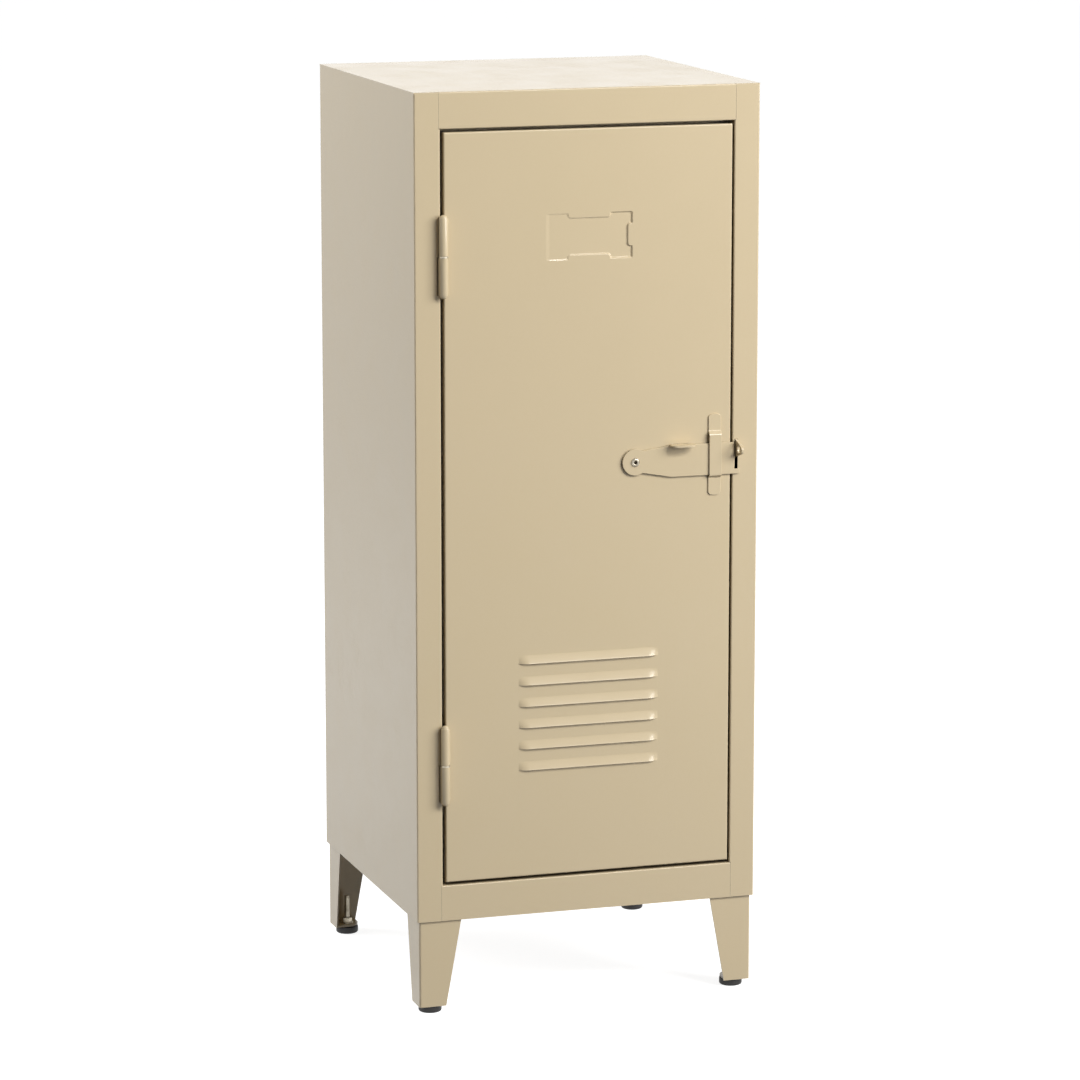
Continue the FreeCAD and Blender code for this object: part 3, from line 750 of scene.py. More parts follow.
def hand_over(piece: bpy.types.Object, body: str, slot: Slot, *nodes: str) -> None:
    """Hang a new piece on the body that it rides on and hide the solids that it stands for.

    Args:
        piece: The new piece.
        body: Name of the body that it moves with.
        slot: Slot of the record that its finish comes from; not used.
        *nodes: Solids that it replaces.
    """
    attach(piece, body)
    if nodes:
        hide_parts(*nodes)
    LOG.info("%s rides on %s, %d faces", piece.name, body, len(piece.data.polygons))


def hex_ring(flats: float, height: float, drop: float = 0.0) -> list[Vector]:
    """Ring of points on a hexagon, lower towards its corners where a cone trims it.

    Args:
        flats: Size across flats.
        height: Height of the ring at the middle of a flat.
        drop: Fall for each unit that a corner stands out past the flats.

    Returns:
        The points.
    """
    ring = []
    for turn in full_turn(RING_SIDES):
        off = (turn + math.pi / 6) % (math.pi / 3) - math.pi / 6
        radius = flats / 2 / math.cos(off)
        fall = drop * (radius - flats / 2)
        ring.append(Vector((radius * math.cos(turn), radius * math.sin(turn), height - fall)))
    return ring


def round_ring(radius: float, height: float) -> list[Vector]:
    """Ring of points on a circle.

    Args:
        radius: Radius of the circle.
        height: Height of the ring.

    Returns:
        The points.
    """
    turns = full_turn(RING_SIDES)
    return [Vector((radius * math.cos(turn), radius * math.sin(turn), height)) for turn in turns]


@dataclass
class CabinetBody:
    """Folded carcass, shelves, legs, padlock ear and small hidden pieces, shown by their own solids."""

    rounded: tuple[str, ...] = ("padlock_ear",)
    edge: float = 0.3 * MM
    edge_steps: int = 3
    crease: float = math.radians(35)
    weld: float = 0.002 * MM

    def dress(self, finishes: Finishes) -> None:
        """Put every solid's own finish on it and break the edges of thick plates.

        Args:
            finishes: The locker's materials.
        """
        slots = {row["node"]: row["material_slot"] for row in frame["record"]["subparts"]}
        for name, node in frame["nodes"].items():
            finish = finishes.for_slot(Slot(slots[name]))
            for slot in node.material_slots:
                slot.material = finish
        for name in self.rounded:
            self.break_edges(frame["nodes"][name])
        LOG.info("dressed %d solids", len(frame["nodes"]))

    def break_edges(self, plate: bpy.types.Object) -> None:
        """Give a plate's cut edges a fine rounding, live on the solid's own object.

        Args:
            plate: The solid's object.
        """
        weld = plate.modifiers.new("join_facets", "WELD")
        weld.merge_threshold = self.weld
        bevel = plate.modifiers.new("break_edges", "BEVEL")
        bevel.width = self.edge
        bevel.segments = self.edge_steps
        bevel.limit_method = "ANGLE"
        bevel.angle_limit = self.crease
        bevel.use_clamp_overlap = False
        plate.modifiers.new("even_shading", "WEIGHTED_NORMAL")


def ease(share: float) -> float:
    """Smooth step from 0 to 1, held at its ends."""
    held = min(max(share, 0.0), 1.0)
    return held * held * (3.0 - 2.0 * held)


def steps(start: float, end: float, width: float) -> list[float]:
    """Evenly spaced places from a start to an end.

    Args:
        start: First place.
        end: Last place.
        width: Largest distance between neighbours.

    Returns:
        The places.
    """
    count = math.ceil(abs(end - start) / width)
    return [start + (end - start) * step / count for step in range(count + 1)]


def outside(across: float, up: float, half: tuple[float, float], corner: float) -> float:
    """Distance to a rectangle with round corners, negative inside it.

    Args:
        across: Place along the width, from the middle.
        up: Place along the height, from the middle.
        half: Half the width and half the height.
        corner: Radius of the corners.

    Returns:
        The distance.
    """
    past_x = abs(across) - half[0] + corner
    past_z = abs(up) - half[1] + corner
    return math.hypot(max(past_x, 0.0), max(past_z, 0.0)) + min(max(past_x, past_z), 0.0) - corner


@dataclass
class PressedDoor:
    """Folded door pan whose skin has pressed louvres and a pressed card holder; sizes in millimetres."""

    depth: float = 18.0
    sheet: float = 1.0
    fold: float = 1.6
    fold_steps: int = 6
    lip: float = 10.0
    lip_edge: float = 0.2
    back_edge: float = 0.3
    louvres: int = 6
    louvre_up: float = 116.5
    louvre_pitch: float = 23.1
    louvre_half: float = 78.0
    louvre_height: float = 9.4
    louvre_out: float = 3.2
    louvre_end: float = 12.0
    louvre_flare: float = 1.12
    louvre_kick: float = 0.08
    louvre_kick_reach: float = 1.2
    louvre_roll: float = 0.08
    card_half: tuple[float, float] = (48.15, 24.85)
    card_down: float = 88.2
    card_drop: float = 1.7
    card_round: float = 2.0
    card_wall: float = 1.8
    card_mouth: float = 0.22
    card_ramp: float = 5.0
    card_margin: float = 1.2
    card_past: float = 10.0
    tongue_half: tuple[float, float] = (22.6, 11.3)
    tongue_reach: float = 4.8
    tongue_round: float = 2.5
    crisp: float = math.radians(60)
    steepest: float = 1.6
    probe: float = 0.2
    grid: float = 0.4
    grid_least: float = 0.12
    grid_end: float = 0.55
    grid_kick: float = 0.35
    grid_hood: float = 0.8
    end_span: float = 1.2
    corner_span: float = 3.2
    ramp_past: float = 0.6
    lip_rows: tuple[float, float] = (0.25, 0.6)
    flat_rows: tuple[float, float] = (0.5, 1.2)
    flat_columns: tuple[float, float] = (0.5, 1.0)
    left: float = field(init=False)
    right: float = field(init=False)
    bottom: float = field(init=False)
    top: float = field(init=False)
    front: float = field(init=False)
    middle: float = field(init=False)
    card_middle: float = field(init=False)
    lips: list[float] = field(init=False)

    def __post_init__(self) -> None:
        """Read the door's place from its solid."""
        low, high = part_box("door_panel")
        self.left, self.right = low.x / MM, high.x / MM
        self.bottom, self.top = low.z / MM, high.z / MM
        self.front = high.y / MM - self.depth
        self.middle = (self.left + self.right) / 2
        self.card_middle = self.top - self.card_down - self.card_half[1]
        first = self.bottom + self.louvre_up
        self.lips = [first + self.louvre_pitch * count for count in range(self.louvres)]

    def hood(self, x: float, z: float) -> float:
        """How far the louvres stand out of the skin at a place.

        Args:
            x: Place across the door.
            z: Height.

        Returns:
            The distance.
        """
        below = [lip for lip in self.lips if lip <= z]
        inset = self.louvre_half - abs(x - self.middle)
        if not below or inset <= 0 or z - below[-1] >= self.louvre_height:
            return 0.0
        rise = z - below[-1]
        hood = self.louvre_out * (1 - rise / self.louvre_height) ** self.louvre_flare
        kick = self.louvre_kick * max(1 - rise / self.louvre_kick_reach, 0.0) ** 2
        end = 1 - max(1 - inset / self.louvre_end, 0.0) ** 2
        roll = self.louvre_roll if rise == 0 else 0.0
        return max((hood + kick) * end - roll, 0.0)

    def sunk(self, x: float, z: float) -> float:
        """How deep the card holder is pressed into the skin at a place.

        Args:
            x: Place across the door.
            z: Height.

        Returns:
            The depth.
        """
        across = x - self.middle
        up = z - self.card_middle
        width, height = self.card_half
        past = self.card_past
        mouth = outside(across + past, up, (width + past, height), self.card_round)
        ends_up = abs(up) - height + self.tongue_reach - past
        long_tongue = outside(across, ends_up, (self.tongue_half[0], past), self.tongue_round)
        ends_across = across - width + self.tongue_reach - past
        short_tongue = outside(ends_across, up, (past, self.tongue_half[1]), self.tongue_round)
        wall = ease(-max(mouth, -long_tongue, -short_tongue) / self.card_wall)
        ramp = self.card_mouth * ease((across + width) / self.card_ramp)
        slope = (1 - self.card_mouth) * min(max((across + width) / (2 * width), 0.0), 1.0)
        return self.card_drop * wall * (ramp + slope)

    def relief(self, x: float, z: float) -> float:
        """How far the skin stands out of the door's plane at a place."""
        return self.hood(x, z) - self.sunk(x, z)

    def thickness(self, x: float, z: float) -> float:
        """Depth of the sheet from front to back, larger where the skin is steep.

        Args:
            x: Place across the door.
            z: Height.

        Returns:
            The depth.
        """
        reach = self.probe
        here = self.relief(x, z + reach)
        lean = (self.relief(x + reach, z + reach) - here) / reach
        slope = (self.relief(x, z + 2 * reach) - here) / reach
        return self.sheet * min(math.sqrt(1 + lean * lean + slope * slope), self.steepest)

    def lines(self, places: list[float]) -> list[float]:
        """Places in order, without near copies.

        Args:
            places: Places in any order.

        Returns:
            The places that are kept.
        """
        kept: list[float] = []
        for place in sorted(places):
            if not kept or place - kept[-1] > self.grid_least:
                kept.append(place)
        return kept

    def columns(self) -> list[float]:
        """Upright grid lines, close together where the skin bends sideways.

        Returns:
            Their places across the door.
        """
        near, far = self.left + self.fold, self.right - self.fold
        width = self.card_half[0]
        places = [near, near + self.grid, far - self.grid, far]
        for sign in (-1, 1):
            end = self.middle + sign * self.louvre_half
            places += steps(end - sign * (self.end_span * self.louvre_end), end, self.grid_end)
            places += [end + sign * margin for margin in self.flat_columns]
            corner = self.middle + sign * self.tongue_half[0]
            places += steps(corner - self.corner_span, corner + self.corner_span, self.grid)
        start, end = self.middle - width, self.middle + width
        places += steps(start - self.card_margin, start + self.card_ramp + self.ramp_past, self.grid)
        places += steps(end - self.tongue_reach - self.corner_span, end + self.card_margin, self.grid)
        return self.lines(places)

    def rows(self) -> list[tuple[float, bool]]:
        """Level grid lines, close together where the skin bends upwards.

        Returns:
            Their heights, each with a mark for the lower side of a louvre's slot.
        """
        near, far = self.bottom + self.fold, self.top - self.fold
        height = self.card_half[1]
        places = [near, near + self.grid, far - self.grid, far]
        for lip in self.lips:
            first, second = (lip + row for row in self.lip_rows)
            bent = lip + self.louvre_kick_reach
            crown = lip + self.louvre_height
            places += [lip, first] + steps(second, bent, self.grid_kick)
            places += steps(bent, crown, self.grid_hood) + [crown + margin for margin in self.flat_rows]
        for sign in (-1, 1):
            edge = self.card_middle + sign * height
            inner = edge - sign * (self.tongue_reach + self.corner_span)
            places += steps(edge + sign * self.card_margin, inner, self.grid)
            corner = self.card_middle + sign * self.tongue_half[1]
            places += steps(corner - self.corner_span, corner + self.corner_span, self.grid)
        rows = []
        for place in self.lines(places):
            if place in self.lips:
                rows.append((place, True))
            rows.append((place, False))
        return rows

    def rim(self) -> list[tuple[float, float]]:
        """Section of the folded rim, from the skin's face round to its back.

        Returns:
            Distance out from the skin's edge and depth behind the front, point by point.
        """
        section = []
        for step in range(1, self.fold_steps + 1):
            turn = math.pi / 2 * step / self.fold_steps
            section.append((self.fold * math.sin(turn), self.fold * (1 - math.cos(turn))))
        inner = self.fold - self.sheet
        lip = self.fold - self.lip
        back = self.depth
        section += [(self.fold, back - self.back_edge), (self.fold - self.back_edge, back)]
        section += [(lip + self.lip_edge, back), (lip, back - self.lip_edge), (lip, back - self.sheet)]
        section += [(inner, back - self.sheet), (inner, self.sheet)]
        return section

    def build(self, finishes: Finishes) -> None:
        """Make the door as one closed sheet.

        Args:
            finishes: The locker's materials.
        """
        draft = MeshDraft()
        columns = self.columns()
        rows = self.rows()
        outer = []
        inner = []
        heights = []
        for z, under in rows:
            stands = [0.0 if under else self.relief(x, z) for x in columns]
            walls = [self.sheet if under else self.thickness(x, z) for x in columns]
            faces = [self.front - stand for stand in stands]
            backs = [face + wall for face, wall in zip(faces, walls)]
            outer.append([draft.shape.verts.new(Vector((x, y, z)) * MM) for x, y in zip(columns, faces)])
            inner.append([draft.shape.verts.new(Vector((x, y, z)) * MM) for x, y in zip(columns, backs)])
            heights.append(stands)
        for level in range(len(rows) - 1):
            for column in range(len(columns) - 1):
                pair = slice(column, column + 2)
                if not rows[level][1]:
                    self.quad(draft, outer[level][pair], outer[level + 1][pair])
                    self.quad(draft, inner[level][pair], inner[level + 1][pair])
                elif max(heights[level + 1][pair]) > 0:
                    for edge in (level, level + 1):
                        self.quad(draft, outer[edge][pair], inner[edge][pair])
        self.wrap(draft, outer, inner, [level for level, row in enumerate(rows) if not row[1]])
        draft.merge()
        made = draft.piece("pressed_door", finishes.paint, self.crisp)
        hand_over(made, Body.DOOR.value, Slot.BODY_PAINT, "door_panel")

    def quad(
        self, draft: MeshDraft, first: Sequence[bmesh.types.BMVert], second: Sequence[bmesh.types.BMVert]
    ) -> None:
        """Face between two pairs of neighbours."""
        draft.shape.faces.new((first[0], first[1], second[1], second[0]))

    def wrap(
        self,
        draft: MeshDraft,
        outer: list[list[bmesh.types.BMVert]],
        inner: list[list[bmesh.types.BMVert]],
        levels: list[int],
    ) -> None:
        """Fold the rim from the edge of the skin's face round to the edge of its back.

        Args:
            draft: The door's draft.
            outer: Vertices of the face by row and column.
            inner: Vertices of the back by row and column.
            levels: Rows that reach the edge.
        """
        last = len(outer[0]) - 1
        near = outer[levels[0]][0].co
        far = outer[levels[-1]][last].co
        places = [(levels[0], column) for column in range(last)]
        places += [(level, last) for level in levels[:-1]]
        places += [(levels[-1], column) for column in range(last, 0, -1)]
        places += [(level, 0) for level in levels[:0:-1]]
        rings = [[outer[level][column] for level, column in places]]
        for out, back in self.rim():
            ring = []
            for level, column in places:
                corner = outer[level][column].co
                sideways = (column == last) - (column == 0)
                upward = (level == levels[-1]) - (level == levels[0])
                spot = corner + Vector((sideways * out, back, upward * out)) * MM
                spot.x = min(max(spot.x, near.x - out * MM), far.x + out * MM)
                spot.z = min(max(spot.z, near.z - out * MM), far.z + out * MM)
                ring.append(draft.shape.verts.new(spot))
            rings.append(ring)
        rings.append([inner[level][column] for level, column in places])
        draft.skin(rings)


@dataclass
class LiftOffHinges:
    """Two lift-off hinges: rolled knuckles with domed pin heads on flat leaves."""

    barrel: float = 4.7 * MM
    barrel_end: float = 40.8 * MM
    barrel_edge: float = 0.3 * MM
    lip: float = 0.5 * MM
    lip_round: float = 0.15 * MM
    head: float = 3.85 * MM
    head_gap: float = 0.15 * MM
    head_top: float = 43.9 * MM
    dome_steps: int = 8
    washer_half: float = 0.8 * MM
    play: float = 0.05 * MM
    door_leaf: tuple[float, float] = (0.3 * MM, 1.8 * MM)
    frame_leaf: tuple[float, float] = (-4.3 * MM, -2.8 * MM)
    leaf_start: float = 1.1 * MM
    leaf_edge: float = 0.25 * MM

    def knuckle(self, direction: int) -> MeshDraft:
        """Half a barrel about the hinge's middle, with the pin's domed head in its end.

        Args:
            direction: 1 for the upper half, -1 for the lower one.

        Returns:
            The draft.
        """
        start = self.washer_half + self.play
        end = self.barrel_end
        rise = self.head_top - end
        profile = [(0.0, start), (self.barrel - self.barrel_edge, start)]
        profile += [(self.barrel, start + self.barrel_edge), (self.barrel, end - self.lip)]
        profile += [(self.barrel - self.lip_round, end - self.lip_round)]
        profile += [(self.barrel - self.lip, end), (self.head + self.head_gap, end)]
        for step in range(self.dome_steps):
            turn = math.pi / 2 * step / self.dome_steps
            profile.append((self.head * math.cos(turn), end + rise * math.sin(turn)))
        profile.append((0.0, self.head_top))
        draft = MeshDraft()
        draft.lathe([(radius, direction * height) for radius, height in profile], Matrix.Identity(4))
        return draft

    def build(self, lattice: LatticeTree, finishes: Finishes) -> None:
        """Make both halves of both hinges.

        Args:
            lattice: Tree that repeats a pattern.
            finishes: The locker's materials.
        """
        low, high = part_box("hinge_pins")
        washer_low, washer_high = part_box("hinge_washers")
        axis = (low + high) / 2
        first = washer_low.z + self.washer_half
        last = washer_high.z - self.washer_half
        start = Vector((axis.x, axis.y, first))
        pair = (2, Vector((0, 0, last - first)))
        halves = (
            ("hinge_door_knuckles", 1, self.door_leaf, "hinge_door_leaves", Body.DOOR),
            ("hinge_frame_knuckles", -1, self.frame_leaf, "hinge_frame_leaves", Body.CABINET),
        )
        for name, direction, sides, node, body in halves:
            draft = self.knuckle(direction)
            _, leaf_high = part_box(node)
            heights = sorted((direction * self.leaf_start, direction * self.barrel_end))
            leaf_low = Vector((sides[0], 0.0, heights[0]))
            draft.block(leaf_low, Vector((sides[1], leaf_high.y - axis.y, heights[1])), self.leaf_edge)
            made = lattice.copies(name, draft, finishes.paint, start, pair)
            hand_over(made, body.value, Slot.BODY_PAINT, node)


def strip_section(
    middle: Vector, normal: Vector, half: float, sheet: float, chamfer: float
) -> list[Vector]:
    """Rectangle with broken corners across a strip that lies along X.

    Args:
        middle: Middle of the section.
        normal: Direction out of the strip's face.
        half: Half the strip's width.
        sheet: Thickness of the strip.
        chamfer: Size of the broken corners.

    Returns:
        The section's points in order.
    """
    points = []
    for side, face in ((1, 1), (-1, 1), (-1, -1), (1, -1)):
        pair = [(half, sheet / 2 - chamfer), (half - chamfer, sheet / 2)]
        if side * face < 0:
            pair.reverse()
        points += [middle + Vector((side * out, 0.0, 0.0)) + normal * face * up for out, up in pair]
    return points


def closed_ends(rings: list[list[Vector]]) -> list[list[Vector]]:
    """Rings in metres from ones in millimetres, with a point at each end to close it."""
    ends = [[sum(ring, Vector((0.0, 0.0, 0.0))) / len(ring)] for ring in (rings[0], rings[-1])]
    return [[point * MM for point in ring] for ring in [ends[0], *rings, ends[1]]]


def fillet(before: Vector, corner: Vector, after: Vector, radius: float, count: int = 5) -> list[Vector]:
    """Arc in place of an outline's corner.

    Args:
        before: Point before the corner.
        corner: The corner.
        after: Point after it.
        radius: Radius of the arc.
        count: Number of its points.

    Returns:
        The arc's points in order.
    """
    back = (before - corner).normalized()
    onward = (after - corner).normalized()
    half = back.angle(onward) / 2
    centre = corner + (back + onward).normalized() * (radius / math.sin(half))
    first = corner + back * (radius / math.tan(half)) - centre
    last = corner + onward * (radius / math.tan(half)) - centre
    points = []
    for step in range(count):
        share = step / (count - 1)
        points.append(centre + (first * (1 - share) + last * share).normalized() * radius)
    return points


@dataclass
class LatchArm:
    """Lifting arm with a round pivot end, a notched tip and a bent thumb tab; sizes in millimetres."""

    sheet: float = 2.0
    chamfer: float = 0.3
    round_end: float = 14.2
    bore: float = 2.55
    root: float = 10.4
    half: float = 17.0
    drop: float = 0.8
    shoulder: float = 40.3
    shoulder_round: float = 8.0
    length: float = 110.6
    finger: float = 6.7
    finger_height: float = 5.1
    corner: float = 1.0
    tab_start: float = 38.0
    tab_width: float = 27.0
    tab_round: float = 6.0
    tab_bend: float = 2.0
    tab_steps: tuple[float, float] = (2.0, 0.4)
    bend_step: float = 0.2
    round_step: float = 0.12
    bore_step: float = 0.27
    off_axis: float = 0.01

    def outline(self) -> list[Vector]:
        """Arm's outline about the pivot, from the hindmost point of its round end and up.

        Returns:
            The outline's points in order.
        """
        top = self.half - self.drop
        bottom = -self.half - self.drop
        tip = self.length + self.finger
        step_top = bottom + self.finger_height
        corners = [(0.0, self.root, 0.0), (self.shoulder, top, self.shoulder_round)]
        corners += [(self.length, top, self.corner), (self.length, step_top, self.corner)]
        corners += [(tip, step_top, self.corner), (tip, bottom, self.corner)]
        corners += [(self.shoulder, bottom, self.shoulder_round), (0.0, -self.root, 0.0)]
        spots = [Vector((x, z)) for x, z, _ in corners]
        upper = self.crossing(spots[0], spots[1])
        lower = self.crossing(spots[-1], spots[-2])
        first = math.atan2(upper.y, upper.x)
        last = math.atan2(lower.y, lower.x)
        points = [self.on_round(turn) for turn in steps(math.pi, first, self.round_step)]
        for place in range(1, len(spots) - 1):
            points += fillet(spots[place - 1], spots[place], spots[place + 1], corners[place][2])
        points += [self.on_round(turn) for turn in steps(last, -math.pi, self.round_step)[:-1]]
        return points

    def on_round(self, turn: float) -> Vector:
        """Point of the round end at an angle."""
        return Vector((math.cos(turn), math.sin(turn))) * self.round_end

    def crossing(self, start: Vector, end: Vector) -> Vector:
        """Point where a straight edge leaves the round end.

        Args:
            start: Start of the edge, inside the round end.
            end: End of the edge, outside it.

        Returns:
            The point.
        """
        run = (end - start).normalized()
        along = start.dot(run)
        reach = math.sqrt(along * along - start.length_squared + self.round_end ** 2) - along
        return start + run * reach

    def build(self, finishes: Finishes) -> None:
        """Make the plate with its bore, and the tab.

        Args:
            finishes: The locker's materials.
        """
        rivet_low, rivet_high = (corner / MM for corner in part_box("latch_rivet"))
        arm_low, arm_high = (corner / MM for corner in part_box("latch_arm"))
        pivot = Vector(((rivet_low.x + rivet_high.x) / 2, arm_high.y, (rivet_low.z + rivet_high.z) / 2))
        draft = MeshDraft()
        self.plate(draft, pivot)
        self.tab(draft, pivot, Vector((0.0, arm_low.y - arm_high.y, arm_high.z - pivot.z)))
        made = draft.piece("lifting_arm", finishes.paint)
        hand_over(made, Body.LATCH.value, Slot.BODY_PAINT, "latch_arm")

    def plate(self, draft: MeshDraft, pivot: Vector) -> None:
        """Flat plate with broken edges and a bore.

        Args:
            draft: The arm's draft.
            pivot: Pivot's point on the plate's back face.
        """
        edge = self.outline()
        count = len(edge)
        split = max(range(count), key=lambda place: edge[place].x - self.off_axis * abs(edge[place].y))
        inward = []
        for place, point in enumerate(edge):
            run = (edge[(place + 1) % count] - edge[place - 1]).normalized()
            inward.append(point + Vector((run.y, -run.x)) * self.chamfer)
        turns = steps(0.0, 2 * math.pi, self.bore_step)[:-1]
        hole = [Vector((-math.cos(turn), math.sin(turn))) * self.bore for turn in turns]
        levels = [(0.0, inward), (self.chamfer, edge)]
        levels += [(self.sheet - self.chamfer, edge), (self.sheet, inward)]
        rings = [self.ring(draft, pivot, line, depth) for depth, line in levels]
        bores = [self.ring(draft, pivot, hole, depth) for depth in (0.0, self.sheet)]
        draft.skin(rings)
        draft.skin(bores)
        middle = len(hole) // 2
        for ring, bore in ((rings[0], bores[0]), (rings[-1], bores[-1])):
            draft.shape.faces.new(ring[: split + 1] + bore[middle::-1])
            draft.shape.faces.new(ring[split:] + ring[:1] + bore[:1] + bore[: middle - 1 : -1])

    def ring(
        self, draft: MeshDraft, pivot: Vector, line: Sequence[Vector], depth: float
    ) -> list[bmesh.types.BMVert]:
        """Vertices of a line round the plate, at a depth in front of its back face."""
        spots = [pivot + Vector((point.x, -depth, point.y)) for point in line]
        return [draft.shape.verts.new(spot * MM) for spot in spots]

    def tab(self, draft: MeshDraft, pivot: Vector, reach: Vector) -> None:
        """Thumb tab that is bent out of the plate's upper edge.

        Args:
            draft: The arm's draft.
            pivot: Pivot's point on the plate's back face.
            reach: The tab's farthest place out and up from the pivot.
        """
        half = self.sheet / 2
        level = reach.z - half
        centre = Vector((0.0, -half - self.tab_bend, level - self.tab_bend))
        line = []
        for turn in steps(0.0, math.pi / 2, self.bend_step):
            across = Vector((0.0, math.cos(turn), math.sin(turn)))
            line.append((centre + across * self.tab_bend, across))
        shoulder = reach.y + self.tab_round
        straight = steps(centre.y, shoulder, self.tab_steps[0])[1:]
        for y in straight + steps(shoulder, reach.y, self.tab_steps[1])[1:]:
            line.append((Vector((0.0, y, level)), Vector((0.0, 0.0, 1.0))))
        rings = []
        for place, normal in line:
            near = max(self.tab_round - (place.y - reach.y), 0.0)
            inset = self.tab_round - math.sqrt(max(self.tab_round ** 2 - near ** 2, 0.0))
            width = self.tab_width / 2 - inset
            middle = pivot + place + Vector((self.tab_start + self.tab_width / 2, 0.0, 0.0))
            rings.append(strip_section(middle, normal, width, self.sheet, self.chamfer))
        draft.loft(closed_ends(rings))


@dataclass
class GuideStrap:
    """Joggled strap on the door that guides the latch arm; sizes in millimetres."""

    width: float = 13.9
    sheet: float = 1.5
    chamfer: float = 0.3
    corner: float = 4.0
    foot: float = 18.5
    foot_run: float = 3.6
    head: float = 17.1
    head_run: float = 5.6
    round_step: float = 0.3
    bend_step: float = 0.25
    flat_step: float = 5.0
    bridge_step: float = 8.0
    probe: float = 0.05

    def build(self, finishes: Finishes) -> None:
        """Sweep the strap's section along its joggled line.

        Args:
            finishes: The locker's materials.
        """
        low, high = (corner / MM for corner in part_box("latch_guide_strap"))
        rise = high.y - low.y - self.sheet
        foot_end = low.z + self.foot
        head_end = high.z - self.head
        head_start = head_end - self.head_run
        spans = (
            (low.z + self.corner, self.round_step),
            (foot_end, self.flat_step),
            (foot_end + self.foot_run, self.bend_step),
            (head_start, self.bridge_step),
            (head_end, self.bend_step),
            (high.z - self.corner, self.flat_step),
            (high.z, self.round_step),
        )
        places = [low.z]
        for end, width in spans:
            places += steps(places[-1], end, width)[1:]

        def stand(z: float) -> float:
            """Distance of the strap's back from the door at a height."""
            return rise * (ease((z - foot_end) / self.foot_run) - ease((z - head_start) / self.head_run))

        rings = []
        for z in places:
            near = max(self.corner - min(z - low.z, high.z - z), 0.0)
            half = self.width / 2 - self.corner + math.sqrt(max(self.corner ** 2 - near ** 2, 0.0))
            slope = (stand(z + self.probe) - stand(z - self.probe)) / (2 * self.probe)
            normal = Vector((0.0, -1.0, -slope)).normalized()
            middle = Vector(((low.x + high.x) / 2, high.y - self.sheet / 2 - stand(z), z))
            rings.append(strip_section(middle, normal, half, self.sheet, self.chamfer))
        draft = MeshDraft()
        draft.loft(closed_ends(rings))
        made = draft.piece("guide_strap", finishes.paint)
        hand_over(made, Body.DOOR.value, Slot.BODY_PAINT, "latch_guide_strap")


@dataclass
class PivotRivet:
    """Hollow steel rivet that the latch arm turns on."""

    head_profile: tuple[tuple[float, float], ...] = (
        (4.8, 0.05),
        (4.75, 0.55),
        (4.35, 1.15),
        (3.7, 1.5),
        (3.0, 1.65),
        (2.35, 1.55),
        (1.9, 1.2),
        (1.7, 0.7),
        (1.6, -3.5),
    )
    head_height: float = 1.75
    shank: float = 2.5
    tail: float = 3.6
    tail_edge: float = 0.5
    tail_height: float = 2.0

    def build(self, finishes: Finishes) -> None:
        """Turn the rivet about its own axis, from its tail behind the door to its rolled head.

        Args:
            finishes: The locker's materials.
        """
        low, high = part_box("latch_rivet")
        front = low.y / MM + self.head_height
        back = high.y / MM
        depth = front - back
        tail_face = depth + self.tail_height
        under_head = self.head_profile[0][1]
        profile = [(0.0, depth), (self.tail - self.tail_edge, depth)]
        profile += [(self.tail, depth + self.tail_edge), (self.tail, tail_face)]
        profile += [(self.shank, tail_face), (self.shank, under_head), *self.head_profile]
        profile.append((0.0, self.head_profile[-1][1]))
        scaled = [(radius * MM, height * MM) for radius, height in profile]
        centre = Vector(((low.x + high.x) / 2, front * MM, (low.z + high.z) / 2))
        place = Matrix.Translation(centre) @ Matrix.Rotation(math.radians(90), 4, "X")
        draft = MeshDraft()
        draft.lathe(scaled, place)
        made = draft.piece("pivot_rivet", finishes.rivet)
        hand_over(made, Body.DOOR.value, Slot.RIVET_STEEL, "latch_rivet")


